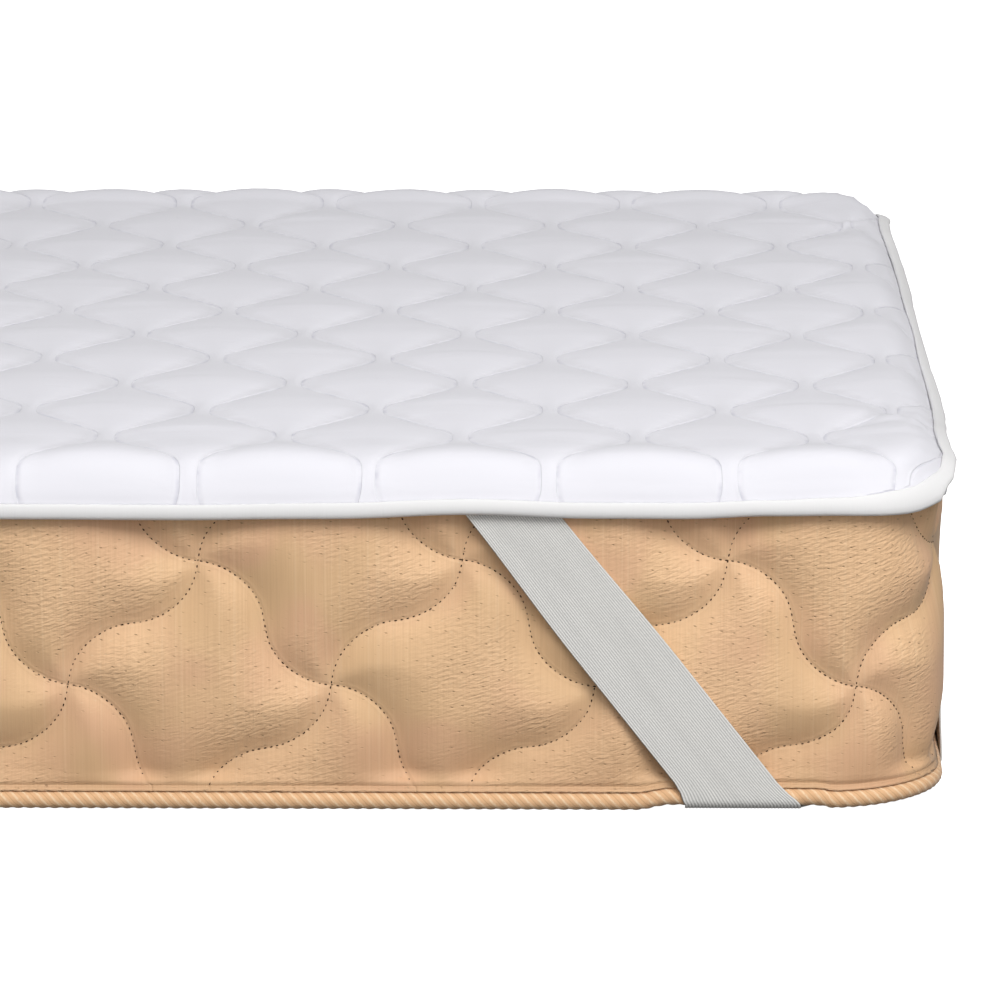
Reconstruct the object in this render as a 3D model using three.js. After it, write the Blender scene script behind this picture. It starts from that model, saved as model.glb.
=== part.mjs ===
// Quilted mattress topper lying on a single mattress, held by an elastic under each corner.
// Millimetres, +Z up. The origin is the middle of the mattress's underside.
// +X runs along the bed and +Y across it, so the long front side faces -Y.

import * as THREE from 'three';

// Mattress
const MATTRESS_LENGTH = 2000;
const MATTRESS_WIDTH = 900;
const MATTRESS_HEIGHT = 218;
const CORNER_RADIUS = 70;
const EDGE_ARC = 54; // length of the soft top edge, from level to upright

// Piping round the bottom edge
const PIPING_RADIUS = 6;
const PIPING_SIDES = 8;
const PIPING_GAP = 0.3;
const NOTCH_CHAMFER = 3.3;

// Quilted panel
const CLOTH_EDGE = 64; // cloth past the start of the soft edge, measured flat
const GRID_EDGE = 40; // the quilted grid ends here, and plain rings carry on
const VALLEY_THICKNESS = 5.5; // at the stitches
const RIM_THICKNESS_LOW = 1.3;
const RIM_THICKNESS_HIGH = 4.7;
const LYING_GAP = 0.3;
const HEM_GAP = 2.8;

// Quilting: stitch lines that run across the bed as mirrored flat-topped waves
const QUILT_PITCH = 113.3; // from neck to neck in one row
const QUILT_PERIOD = 153.8; // from a neck to the next one behind it
const QUILT_ORIGIN_X = 518.9;
const QUILT_ORIGIN_Y = -448.8;
const NECK_GAP = 10;
const NECK_HALF_LENGTH = 13;
const CROWN_HEIGHT = 6.1; // of the widest cell over the stitches
const NECK_HEIGHT = 1.3;

// Binding: a tape folded round the panel's edge
const BINDING_START = 52.4;
const BINDING_THICKNESS = 6;
const TAPE_THICKNESS = 1;
const BINDING_NOSE = 1.4;

// Corner elastics
const STRAP_WIDTH = 52;
const STRAP_TOP_WIDTH = 47; // drawn in a little where it is sewn on
const STRAP_THICKNESS = 1.5;
const STRAP_GAP = 0.3;
const STRAP_AT_HEM = 275; // middle of the strap from the mattress's corner, at the hem
const STRAP_AT_BASE = 131; // and at the bottom edge
const HEM_HEIGHT = 192;
const STRAP_FULL_WIDTH_DROP = 90; // it has its full width this far below the hem
const STRAP_LEVEL_INSET = 40; // past this the strap lies level under the mattress
const STRAP_RISE = 3; // of its outer face where it turns round the piping

// Soft rise of the bottom edge at each corner, and where the strap draws the piping up
const CORNER_RISE = 9;
const CORNER_RISE_REACH = 130;
const SQUEEZE_RISE = 5;
const SQUEEZE_MARGIN = 9;
const SQUEEZE_FADE = 22;
const UNDERCUT = 1.8; // room for the strap under the corner

const HALF_LENGTH = MATTRESS_LENGTH / 2;
const HALF_WIDTH = MATTRESS_WIDTH / 2;
const ARC_HALF = CORNER_RADIUS * Math.PI / 4;
const ARC_CENTRE_X = HALF_LENGTH - CORNER_RADIUS;
const ARC_CENTRE_Y = HALF_WIDTH - CORNER_RADIUS;
const PIPING_LOW = 2 * PIPING_RADIUS + PIPING_GAP;
const HALF_PERIOD = QUILT_PERIOD / 2;
const LINE_PITCH = QUILT_PITCH / 2;
const LINE_SWING = (LINE_PITCH - NECK_GAP) / 2;
const TURN_LENGTH = 10000; // more than a side, so that positions always grow

// How the hem hangs round a corner. "along" is measured on the mattress's outline from the
// corner's middle, minus along the long side and plus along the end. "wrap" is how far the hem
// reaches over the soft edge, and "flare" how far it stands off there.
const HEM = [
  { along: -985, wrap: 55.6, flare: 0.6 },
  { along: -700, wrap: 55.2, flare: 0.2 },
  { along: -558, wrap: 56.1, flare: 0.5 },
  { along: -468, wrap: 56.3, flare: 0.2 },
  { along: -377, wrap: 55.2, flare: 0.6 },
  { along: -289, wrap: 52.8, flare: 0.5 },
  { along: -217, wrap: 54.6, flare: 0 },
  { along: -157, wrap: 54.7, flare: 0.3 },
  { along: -68, wrap: 52.4, flare: 0.8 },
  { along: -15, wrap: 50.6, flare: 1.6 },
  { along: 30, wrap: 45, flare: 2.6 },
  { along: 70, wrap: 43, flare: 3.4 },
  { along: 130, wrap: 43, flare: 3.6 },
  { along: 165, wrap: 45, flare: 2 },
  { along: 205, wrap: 52, flare: 0 },
  { along: 260, wrap: 53, flare: 0 },
  { along: 340, wrap: 48.5, flare: 0.8 },
  { along: 435, wrap: 47.6, flare: 1 },
];

function smooth(value) {
  const x = Math.min(1, Math.max(0, value));
  return x * x * (3 - 2 * x);
}

function mix(a, b, share) {
  return a + (b - a) * share;
}

// Reads a column of the hem table, eased from row to row.
function hemValue(along, column) {
  const next = HEM.findIndex((row) => row.along > along);
  if (next === 0) return HEM[0][column];
  if (next < 0) return HEM[HEM.length - 1][column];
  const low = HEM[next - 1];
  const high = HEM[next];
  const share = smooth((along - low.along) / (high.along - low.along));
  return mix(low[column], high[column], share);
}

// The soft top edge turns from level to upright, faster and faster. This steps along it and gives
// the way out, the drop and the slope at an arc length from its start.
function edgeProfile(arc) {
  const steps = 48;
  const soft = Math.min(arc, EDGE_ARC);
  let out = 0;
  let drop = 0;
  for (let i = 0; i < steps; i += 1) {
    const share = (i + 0.5) / steps * soft / EDGE_ARC;
    const slope = Math.PI / 2 * share * share;
    out += Math.cos(slope) * soft / steps;
    drop += Math.sin(slope) * soft / steps;
  }
  const slope = Math.PI / 2 * (soft / EDGE_ARC) ** 2;
  return { out, drop: drop + Math.max(0, arc - EDGE_ARC), slope };
}

const EDGE_OUT = edgeProfile(EDGE_ARC).out;
const CORE_RADIUS = CORNER_RADIUS - EDGE_OUT;

// A station is a place on the outline: the nearest point of the rectangle of the corner arcs'
// centres, the way out from it, and its distance from the nearest corner's middle.
function station(centreX, centreY, wayX, wayY, along) {
  return { centreX, centreY, wayX, wayY, along };
}

function stationPoint(place, reach, z) {
  return new THREE.Vector3(
    place.centreX + place.wayX * reach,
    place.centreY + place.wayY * reach,
    z,
  );
}

// Stations counterclockwise from the front left. The distances are from a corner's arc along
// the long side and along the end.
function outline(longDistances, endDistances, arcSteps) {
  const quarter = [];
  for (const distance of [...longDistances].reverse()) {
    quarter.push({ x: ARC_CENTRE_X - distance, y: ARC_CENTRE_Y, angle: 0, along: -ARC_HALF - distance });
  }
  for (let i = 1; i < arcSteps; i += 1) {
    const angle = Math.PI / 2 * i / arcSteps;
    const along = mix(-ARC_HALF, ARC_HALF, i / arcSteps);
    quarter.push({ x: ARC_CENTRE_X, y: ARC_CENTRE_Y, angle, along });
  }
  for (const distance of endDistances) {
    const along = ARC_HALF + distance;
    quarter.push({ x: ARC_CENTRE_X, y: ARC_CENTRE_Y - distance, angle: Math.PI / 2, along });
  }
  const places = [];
  for (const [signX, signY] of [[1, -1], [1, 1], [-1, 1], [-1, -1]]) {
    const rows = signX * signY < 0 ? quarter : [...quarter].reverse();
    for (const row of rows) {
      const x = signX * row.x;
      const y = signY * row.y;
      const last = places[places.length - 1];
      const wayX = signX * Math.sin(row.angle);
      const wayY = signY * Math.cos(row.angle);
      const same = last && Math.hypot(last.centreX - x, last.centreY - y) < 1e-6
        && Math.hypot(last.wayX - wayX, last.wayY - wayY) < 1e-6;
      if (!same) places.push(station(x, y, wayX, wayY, row.along));
    }
  }
  places.pop();
  return places;
}

// Distances that start small at a corner and grow towards the middle of a side.
function growing(length, first, growth, most) {
  const distances = [0];
  let step = first;
  while (distances[distances.length - 1] + 1.5 * step < length) {
    distances.push(distances[distances.length - 1] + step);
    step = Math.min(step * growth, most);
  }
  distances.push(length);
  return distances;
}

// Collects a closed surface. Every strip runs from the top's middle outwards, down and back in
// under the piece, so that all its faces point out.
class Shell {
  constructor() {
    this.points = [];
    this.faces = [];
  }

  add(point) {
    this.points.push(point);
    return this.points.length - 1;
  }

  ring(places, makePoint) {
    return places.map((place) => this.add(makePoint(place)));
  }

  face(a, b, c) {
    if (a !== b && b !== c && c !== a) this.faces.push([a, b, c]);
  }

  // "crossed" cuts the quads along their other diagonal.
  strip(inner, outer, crossed = false) {
    for (let i = 0; i < inner.length; i += 1) {
      const next = (i + 1) % inner.length;
      if (crossed) {
        this.face(outer[i], outer[next], inner[i]);
        this.face(outer[next], inner[next], inner[i]);
      } else {
        this.face(outer[i], outer[next], inner[next]);
        this.face(outer[i], inner[next], inner[i]);
      }
    }
  }

  // Joins two rows of different counts, each with its own growing positions.
  zip(inner, innerAt, outer, outerAt) {
    let i = 0;
    let j = 0;
    while (i < inner.length - 1 || j < outer.length - 1) {
      const innerNext = i < inner.length - 1 ? innerAt[i + 1] : Infinity;
      const outerNext = j < outer.length - 1 ? outerAt[j + 1] : Infinity;
      if (outerNext <= innerNext) {
        this.face(outer[j], outer[j + 1], inner[i]);
        j += 1;
      } else {
        this.face(outer[j], inner[i + 1], inner[i]);
        i += 1;
      }
    }
  }

  // Fills a level polygon, facing up or down.
  fill(loop, facesUp) {
    const flat = loop.map((index) => new THREE.Vector2(this.points[index].x, this.points[index].y));
    for (const [a, b, c] of THREE.ShapeUtils.triangulateShape(flat, [])) {
      if (facesUp) this.face(loop[a], loop[b], loop[c]);
      else this.face(loop[c], loop[b], loop[a]);
    }
  }

  mesh(name, color, roughness) {
    const geometry = new THREE.BufferGeometry();
    const values = this.points.flatMap((point) => [point.x, point.y, point.z]);
    geometry.setAttribute('position', new THREE.Float32BufferAttribute(values, 3));
    geometry.setIndex(this.faces.flat());
    geometry.computeVertexNormals();
    const material = new THREE.MeshStandardMaterial({ color, roughness, metalness: 0 });
    const result = new THREE.Mesh(geometry, material);
    result.name = name;
    return result;
  }
}

// Finds the station that a flat cloth point belongs to, and how far past the level top it is.
function clothPlace(x, y) {
  const sideX = Math.sign(x) || 1;
  const sideY = Math.sign(y) || 1;
  const pastX = Math.max(0, Math.abs(x) - ARC_CENTRE_X);
  const pastY = Math.max(0, Math.abs(y) - ARC_CENTRE_Y);
  const past = Math.hypot(pastX, pastY);
  const angle = Math.atan2(pastX, pastY);
  let along = CORNER_RADIUS * (angle - Math.PI / 4);
  if (pastX === 0) along = -ARC_HALF - (ARC_CENTRE_X - Math.abs(x));
  else if (pastY === 0) along = ARC_HALF + (ARC_CENTRE_Y - Math.abs(y));
  const place = station(
    sideX * Math.min(Math.abs(x), ARC_CENTRE_X),
    sideY * Math.min(Math.abs(y), ARC_CENTRE_Y),
    past > 0 ? sideX * pastX / past : 0,
    past > 0 ? sideY * pastY / past : 0,
    along,
  );
  return { place, past, cloth: past - CORE_RADIUS };
}

// Lays a cloth point on the mattress. "cloth" is its distance past the level top, measured flat,
// and "height" its height over the cloth's underside.
function draped(place, cloth, height) {
  if (cloth <= 0) {
    const z = MATTRESS_HEIGHT + LYING_GAP + height;
    return stationPoint(place, CORE_RADIUS + cloth, z);
  }
  const share = cloth / CLOTH_EDGE;
  const profile = edgeProfile(share * hemValue(place.along, 'wrap'));
  const flare = hemValue(place.along, 'flare') * share * share;
  const stand = mix(LYING_GAP, HEM_GAP, smooth(share * 1.6)) + flare + height;
  const reach = CORE_RADIUS + profile.out + stand * Math.sin(profile.slope);
  return stationPoint(place, reach, MATTRESS_HEIGHT - profile.drop + stand * Math.cos(profile.slope));
}

// The wave that all stitch lines follow across the bed: 1 at its own necks, -1 at the others.
function wave(y) {
  const turn = ((y - QUILT_ORIGIN_Y) / HALF_PERIOD % 2 + 2) % 2;
  const away = turn > 1 ? 2 - turn : turn;
  const flat = NECK_HALF_LENGTH / HALF_PERIOD;
  const share = Math.min(1, Math.max(0, (away - flat) / (1 - 2 * flat)));
  return 1 - 2 * share;
}

// Where a stitch line runs. Neighbouring lines swing opposite ways.
function lineX(index, y) {
  const swing = index % 2 === 0 ? -LINE_SWING : LINE_SWING;
  return QUILT_ORIGIN_X + (index + 0.5) * LINE_PITCH + swing * wave(y);
}

// A column of the grid: whole numbers are stitch lines, and halves are the crowns between them.
function columnX(column, y) {
  const line = Math.floor(column);
  return mix(lineX(line, y), lineX(line + 1, y), column - line);
}

function columnHeight(column, y) {
  const line = Math.floor(column);
  const width = lineX(line + 1, y) - lineX(line, y);
  const widest = QUILT_PITCH - NECK_GAP;
  const crown = mix(NECK_HEIGHT, CROWN_HEIGHT, (width - NECK_GAP) / (widest - NECK_GAP));
  return crown * Math.sin(Math.PI * (column - line));
}

// Rows of the grid across the bed: the two ends of each neck, and more down the soft edges.
function gridRows() {
  const level = ARC_CENTRE_Y + CORE_RADIUS;
  const end = level + GRID_EDGE;
  const rows = [-end, -level - 0.6 * GRID_EDGE, -level - 0.28 * GRID_EDGE];
  rows.push(level + 0.28 * GRID_EDGE, level + 0.6 * GRID_EDGE, level + 0.82 * GRID_EDGE, end);
  for (let y = QUILT_ORIGIN_Y; y < end; y += HALF_PERIOD) {
    for (const row of [y - NECK_HALF_LENGTH, y + NECK_HALF_LENGTH]) {
      if (Math.abs(row) < end - 4) rows.push(row);
    }
  }
  rows.sort((a, b) => a - b);
  return rows.filter((row, i) => i === 0 || i === rows.length - 1 || row - rows[i - 1] > 5);
}

// Columns along the bed, twice as close over the soft edges of the two ends.
function gridColumns() {
  const reach = ARC_CENTRE_X + CORE_RADIUS + GRID_EDGE + LINE_SWING;
  const first = Math.floor((-reach - QUILT_ORIGIN_X) / LINE_PITCH);
  const last = Math.ceil((reach - QUILT_ORIGIN_X) / LINE_PITCH);
  const columns = [];
  for (let column = first; column <= last; column += 0.25) {
    const nearEnd = column < first + 2.5 || column > last - 2.5;
    if (nearEnd || column * 2 === Math.round(column * 2)) columns.push(column);
  }
  return columns;
}

// The largest x of the grid at a row, on its rounded outline.
function gridReach(y) {
  const radius = CORE_RADIUS + GRID_EDGE;
  const pastY = Math.max(0, Math.abs(y) - ARC_CENTRE_Y);
  return ARC_CENTRE_X + Math.sqrt(Math.max(0, radius * radius - pastY * pastY));
}

// Position along the whole outline, counterclockwise from the left end of the front side.
function roundAt(place) {
  const angle = Math.atan2(place.wayX, -place.wayY);
  const turned = angle < -1e-9 ? angle + 2 * Math.PI : angle;
  return place.centreY * place.wayX - place.centreX * place.wayY + TURN_LENGTH * turned;
}

// A closed row of points from its lowest position on, with its first point again at its end.
function fromStart(loop, at) {
  const start = at.indexOf(Math.min(...at));
  const turn = (row) => [...row.slice(start), ...row.slice(0, start)];
  const full = 2 * Math.PI * TURN_LENGTH;
  return { loop: [...turn(loop), loop[start]], at: [...turn(at), at[start] + full] };
}

function quiltedPanel(places) {
  const shell = new Shell();
  const rows = gridRows();
  const columns = gridColumns();
  const seen = new Map();
  const flatOf = [];

  const gridPoint = (x, y, relief) => {
    const key = `${x.toFixed(3)},${y.toFixed(3)}`;
    if (seen.has(key)) return seen.get(key);
    const { place, past, cloth } = clothPlace(x, y);
    const fade = 1 - 0.75 * smooth((cloth - 0.4 * GRID_EDGE) / (0.7 * GRID_EDGE));
    const height = VALLEY_THICKNESS + relief * fade;
    let point;
    if (past > 0) {
      point = draped(place, cloth, height);
    } else {
      point = new THREE.Vector3(x, y, MATTRESS_HEIGHT + LYING_GAP + height);
    }
    const index = shell.add(point);
    seen.set(key, index);
    flatOf[index] = place;
    return index;
  };

  const grid = rows.map((y) => {
    const reach = gridReach(y);
    return columns.map((column) => {
      const x = columnX(column, y);
      if (x > reach - 4) return gridPoint(reach, y, 0);
      if (x < 4 - reach) return gridPoint(-reach, y, 0);
      return gridPoint(x, y, columnHeight(column, y));
    });
  });

  for (let j = 0; j < rows.length - 1; j += 1) {
    for (let i = 0; i < columns.length - 1; i += 1) {
      const [a, b, c, d] = [grid[j][i], grid[j][i + 1], grid[j + 1][i + 1], grid[j + 1][i]];
      const crownFirst = columns[i] !== Math.round(columns[i]);
      if (crownFirst) {
        shell.face(a, b, c);
        shell.face(a, c, d);
      } else {
        shell.face(a, b, d);
        shell.face(b, c, d);
      }
    }
  }

  const edge = [...grid[0]];
  for (const row of grid) edge.push(row[row.length - 1]);
  edge.push(...[...grid[grid.length - 1]].reverse());
  for (const row of [...grid].reverse()) edge.push(row[0]);
  const unique = [...new Set(edge)];
  const gridEdge = fromStart(unique, unique.map((index) => roundAt(flatOf[index])));

  const level = (cloth, height) => shell.ring(places, (place) => draped(place, cloth, height));
  const seam = BINDING_START - 0.3;
  const edgeEnd = CLOTH_EDGE - 1.8;
  const rings = [
    level(seam - 0.5, VALLEY_THICKNESS - 0.3),
    level(seam, RIM_THICKNESS_HIGH),
    level(edgeEnd, RIM_THICKNESS_HIGH),
    level(edgeEnd, RIM_THICKNESS_LOW),
    level(seam, RIM_THICKNESS_LOW),
    level(seam - 0.3, 0),
    level(38, 0),
    level(24, 0),
    level(9, 0),
    level(0, 0),
  ];
  const first = fromStart(rings[0], places.map(roundAt));
  shell.zip(gridEdge.loop, gridEdge.at, first.loop, first.at);
  for (let i = 0; i < rings.length - 1; i += 1) shell.strip(rings[i], rings[i + 1]);
  shell.fill(rings[rings.length - 1], false);
  return shell.mesh('quilted_panel', 0xebeaf0, 0.9);
}

// The tape's section, folded round the panel's rim: cloth distance and height of each corner.
function edgeBinding(places) {
  const shell = new Shell();
  const inside = CLOTH_EDGE - 1.5;
  const section = [
    { cloth: BINDING_START, height: BINDING_THICKNESS },
    { cloth: CLOTH_EDGE - BINDING_NOSE, height: BINDING_THICKNESS },
    { cloth: CLOTH_EDGE, height: BINDING_THICKNESS / 2 },
    { cloth: CLOTH_EDGE - BINDING_NOSE, height: 0 },
    { cloth: BINDING_START, height: 0 },
    { cloth: BINDING_START, height: TAPE_THICKNESS },
    { cloth: inside, height: TAPE_THICKNESS },
    { cloth: inside, height: BINDING_THICKNESS - TAPE_THICKNESS },
    { cloth: BINDING_START, height: BINDING_THICKNESS - TAPE_THICKNESS },
  ];
  const rings = section.map(({ cloth, height }) => (
    shell.ring(places, (place) => draped(place, cloth, height))
  ));
  const hollowFrom = 5; // the faces that look at the rim are cut as the rim's own are
  for (let i = 0; i < rings.length; i += 1) {
    shell.strip(rings[i], rings[(i + 1) % rings.length], i >= hollowFrom);
  }
  return shell.mesh('edge_binding', 0xf8f8f7, 0.8);
}

const STRAP_EDGE_SPAN = STRAP_WIDTH * Math.SQRT2; // along the bottom edge, as it crosses aslant
const STRAP_ALONG = ARC_HALF + STRAP_AT_BASE - CORNER_RADIUS;
const SQUEEZE_HALF = STRAP_EDGE_SPAN / 2 + SQUEEZE_MARGIN;
const UNDERCUT_ALONG = STRAP_ALONG + SQUEEZE_HALF + SQUEEZE_FADE;

// How far the bottom edge and its piping are drawn up, at a distance from a corner's middle.
function rise(along) {
  const away = Math.abs(along);
  const corner = CORNER_RISE * (1 - smooth(away / CORNER_RISE_REACH));
  const beside = Math.abs(away - STRAP_ALONG) - SQUEEZE_HALF;
  const squeeze = SQUEEZE_RISE * (1 - smooth(beside / SQUEEZE_FADE));
  return Math.max(corner, squeeze);
}

function mattress(places) {
  const shell = new Shell();
  const softArcs = [0, 15, 28, 38, 46, EDGE_ARC];
  const rings = softArcs.map((arc) => {
    const profile = edgeProfile(arc);
    return shell.ring(places, (place) => (
      stationPoint(place, CORE_RADIUS + profile.out, MATTRESS_HEIGHT - profile.drop)
    ));
  });
  const shoulder = PIPING_LOW - NOTCH_CHAMFER;
  const foot = [
    { inset: 0, z: PIPING_LOW },
    { inset: shoulder, z: PIPING_LOW },
    { inset: PIPING_LOW, z: shoulder },
    { inset: PIPING_LOW, z: 0 },
  ];
  for (const { inset, z } of foot) {
    const makePoint = (place) => stationPoint(place, CORNER_RADIUS - inset, z + rise(place.along));
    rings.push(shell.ring(places, makePoint));
  }
  shell.fill(rings[0], true);
  for (let i = 0; i < rings.length - 1; i += 1) shell.strip(rings[i], rings[i + 1]);

  // The underside rests level, and each corner outside a slanting line is a little higher.
  const last = rings[rings.length - 1];
  const isRaised = (place) => Math.abs(place.along) < UNDERCUT_ALONG - 1e-6;
  const start = places.findIndex((place, i) => (
    !isRaised(place) && isRaised(places[(i + 1) % places.length])
  ));
  const order = places.map((_, i) => (start + i) % places.length);
  const contact = [];
  let k = 0;
  while (k < order.length) {
    const here = order[k];
    contact.push(last[here]);
    const next = order[(k + 1) % order.length];
    if (!isRaised(places[next])) {
      k += 1;
      continue;
    }
    let stop = k + 1;
    while (isRaised(places[order[stop % order.length]])) stop += 1;
    const from = shell.points[last[here]];
    const to = shell.points[last[order[stop % order.length]]];
    const inward = (STRAP_LEVEL_INSET - PIPING_LOW) / Math.abs(to.x - from.x);
    const stepAt = [inward, 1 - inward].map((share) => {
      const low = new THREE.Vector3().lerpVectors(from, to, share);
      const high = low.clone().setZ(UNDERCUT);
      return { low: shell.add(low), high: shell.add(high) };
    });
    const [one, two] = stepAt;
    const outer = [];
    for (let i = k; i <= stop; i += 1) outer.push(last[order[i % order.length]]);
    const outerAt = outer.map((_, i) => i / (outer.length - 1));
    const inner = [outer[0], one.high, two.high, outer[outer.length - 1]];
    shell.zip(outer, outerAt, inner, [0, 0, 0.5, 2]);
    shell.face(one.low, one.high, outer[0]);
    shell.face(one.low, two.low, two.high);
    shell.face(one.low, two.high, one.high);
    shell.face(two.low, outer[outer.length - 1], two.high);
    contact.push(one.low, two.low);
    k = stop;
  }
  shell.fill(contact, false);
  return shell.mesh('mattress', 0xc8a57d, 0.85);
}

function bottomPiping(places) {
  const shell = new Shell();
  const rings = [];
  for (let i = 0; i < PIPING_SIDES; i += 1) {
    const angle = Math.PI / 2 - 2 * Math.PI * (i + 0.5) / PIPING_SIDES;
    rings.push(shell.ring(places, (place) => {
      const reach = CORNER_RADIUS - PIPING_RADIUS + PIPING_RADIUS * Math.cos(angle);
      return stationPoint(place, reach, PIPING_RADIUS + PIPING_RADIUS * Math.sin(angle) + rise(place.along));
    }));
  }
  for (let i = 0; i < rings.length; i += 1) shell.strip(rings[i], rings[(i + 1) % rings.length]);
  return shell.mesh('bottom_piping', 0xdcb389, 0.85);
}

// Half of a strap's run, from behind the hem to the level stretch under the corner. Each row is
// a cut across it, parallel to the mattress's side: the inset of its inner face from that side,
// that face's height, and the way that the face looks, as an angle down from straight out.
function strapCuts() {
  const cuts = [];
  for (const arc of [46, 50, EDGE_ARC]) {
    const profile = edgeProfile(arc);
    cuts.push({
      inset: EDGE_OUT - profile.out,
      z: MATTRESS_HEIGHT - profile.drop,
      turn: profile.slope - Math.PI / 2,
    });
  }
  for (const z of [150, 100]) cuts.push({ inset: 0, z, turn: 0 });
  const centre = PIPING_RADIUS + STRAP_RISE + STRAP_THICKNESS + STRAP_GAP;
  const steps = 6;
  for (let i = 0; i <= steps; i += 1) {
    const turn = Math.PI / 2 * i / steps;
    cuts.push({
      inset: PIPING_RADIUS * (1 - Math.cos(turn)),
      z: centre - PIPING_RADIUS * Math.sin(turn),
      turn,
    });
  }
  cuts.push({ inset: STRAP_LEVEL_INSET, z: STRAP_THICKNESS + STRAP_GAP, turn: Math.PI / 2 });
  return cuts;
}

// One strap, drawn for the corner at +X -Y and mirrored to its own corner.
function cornerStrap(name, signX, signY) {
  const shell = new Shell();
  const cuts = strapCuts();
  const slope = (STRAP_AT_HEM - STRAP_AT_BASE) / (HEM_HEIGHT - PIPING_RADIUS);
  const slant = Math.hypot(1, slope);

  const sections = cuts.map((cut) => {
    const height = Math.max(0, cut.z - PIPING_RADIUS);
    const width = mix(STRAP_TOP_WIDTH, STRAP_WIDTH, smooth((HEM_HEIGHT - cut.z) / STRAP_FULL_WIDTH_DROP));
    const span = mix(width * slant, STRAP_EDGE_SPAN, smooth(1 - height / PIPING_LOW));
    const middle = STRAP_AT_BASE + slope * height - Math.max(0, cut.inset - PIPING_RADIUS);
    return [STRAP_GAP, STRAP_GAP + STRAP_THICKNESS].map((stand) => (
      [middle + span / 2, middle - span / 2].map((fromCorner) => ({
        fromCorner,
        out: stand * Math.cos(cut.turn) - cut.inset,
        z: cut.z - stand * Math.sin(cut.turn),
      }))
    ));
  });

  const place = ({ fromCorner, out, z }, onEnd) => {
    const x = onEnd ? HALF_LENGTH + out : HALF_LENGTH - fromCorner;
    const y = onEnd ? HALF_WIDTH - fromCorner : HALF_WIDTH + out;
    return shell.add(new THREE.Vector3(signX * x, signY * y, z));
  };
  const rings = [];
  for (const [[innerFar, innerNear], [outerFar, outerNear]] of sections) {
    rings.push([innerFar, outerFar, outerNear, innerNear].map((corner) => place(corner, false)));
  }
  for (const [[innerFar, innerNear], [outerFar, outerNear]] of [...sections].reverse()) {
    rings.push([innerFar, outerFar, outerNear, innerNear].map((corner) => place(corner, true)));
  }
  const first = rings[0];
  const last = rings[rings.length - 1];
  shell.face(first[0], first[1], first[2]);
  shell.face(first[0], first[2], first[3]);
  for (let i = 0; i < rings.length - 1; i += 1) shell.strip(rings[i], rings[i + 1]);
  shell.face(last[2], last[1], last[0]);
  shell.face(last[3], last[2], last[0]);
  if (signX * signY > 0) shell.faces = shell.faces.map(([a, b, c]) => [c, b, a]);
  return shell.mesh(name, 0xc6cac6, 0.75);
}

const cornerStations = growing(UNDERCUT_ALONG - ARC_HALF, 16, 1, 16);
const mattressPlaces = outline(
  [...cornerStations, 420, ARC_CENTRE_X],
  [...cornerStations, ARC_CENTRE_Y],
  8,
);
const clothPlaces = outline(
  growing(ARC_CENTRE_X, 26, 1.16, 90),
  growing(ARC_CENTRE_Y, 22, 1.1, 50),
  7,
);

const topper = new THREE.Group();
topper.add(
  quiltedPanel(clothPlaces),
  edgeBinding(clothPlaces),
  mattress(mattressPlaces),
  bottomPiping(mattressPlaces),
);
const corners = [
  { name: 'strap_front_right', signX: 1, signY: -1 },
  { name: 'strap_back_right', signX: 1, signY: 1 },
  { name: 'strap_back_left', signX: -1, signY: 1 },
  { name: 'strap_front_left', signX: -1, signY: -1 },
];
for (const { name, signX, signY } of corners) topper.add(cornerStrap(name, signX, signY));

export default topper;
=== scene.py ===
"""Looks of a quilted mattress topper with corner elastics, lying on a plain mattress.

Lengths are in millimetres until a point is placed, and Blender's are in metres.
"""

from __future__ import annotations

import logging
import math
import random
from dataclasses import dataclass, field
from enum import Enum
from typing import Callable, NamedTuple

import bmesh
import bpy
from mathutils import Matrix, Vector, kdtree, noise
from mathutils.bvhtree import BVHTree


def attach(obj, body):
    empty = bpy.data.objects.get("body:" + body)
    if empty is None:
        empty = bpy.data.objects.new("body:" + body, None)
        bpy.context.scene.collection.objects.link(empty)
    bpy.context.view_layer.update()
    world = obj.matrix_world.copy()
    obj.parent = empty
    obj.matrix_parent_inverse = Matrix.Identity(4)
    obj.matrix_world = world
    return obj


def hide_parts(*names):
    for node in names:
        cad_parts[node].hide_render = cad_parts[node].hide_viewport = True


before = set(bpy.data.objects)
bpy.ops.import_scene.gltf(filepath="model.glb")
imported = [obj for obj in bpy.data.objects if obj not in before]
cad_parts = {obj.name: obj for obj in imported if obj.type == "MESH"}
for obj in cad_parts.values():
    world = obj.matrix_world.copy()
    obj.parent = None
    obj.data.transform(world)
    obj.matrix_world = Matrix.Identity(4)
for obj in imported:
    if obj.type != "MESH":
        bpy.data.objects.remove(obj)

LOG = logging.getLogger("topper")
MM = 0.001
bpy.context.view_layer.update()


def ease(share: float) -> float:
    """A share from 0 to 1, eased at both ends."""
    held = min(1.0, max(0.0, share))
    return held * held * (3 - 2 * held)


def mix(low: float, high: float, share: float) -> float:
    """The value a share of the way from low to high."""
    return low + (high - low) * share


def ripple(x: float, y: float, z: float = 0.0) -> float:
    """Smooth seedless noise from about -1 to 1."""
    return noise.noise(Vector((x, y, z)))


class Place(NamedTuple):
    """A place on the bed's outline.

    The centre is the nearest point of the rectangle of the corner arcs' centres, the way leads
    out from it, and along is the distance on the outline from the nearest corner's middle.
    """

    centre_x: float
    centre_y: float
    way_x: float
    way_y: float
    along: float
    past: float = 0.0

    def point(self, reach: float, z: float) -> Vector:
        """The point in metres at a reach from the centre and a height."""
        return Vector((
            (self.centre_x + self.way_x * reach) * MM,
            (self.centre_y + self.way_y * reach) * MM,
            z * MM,
        ))


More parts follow.
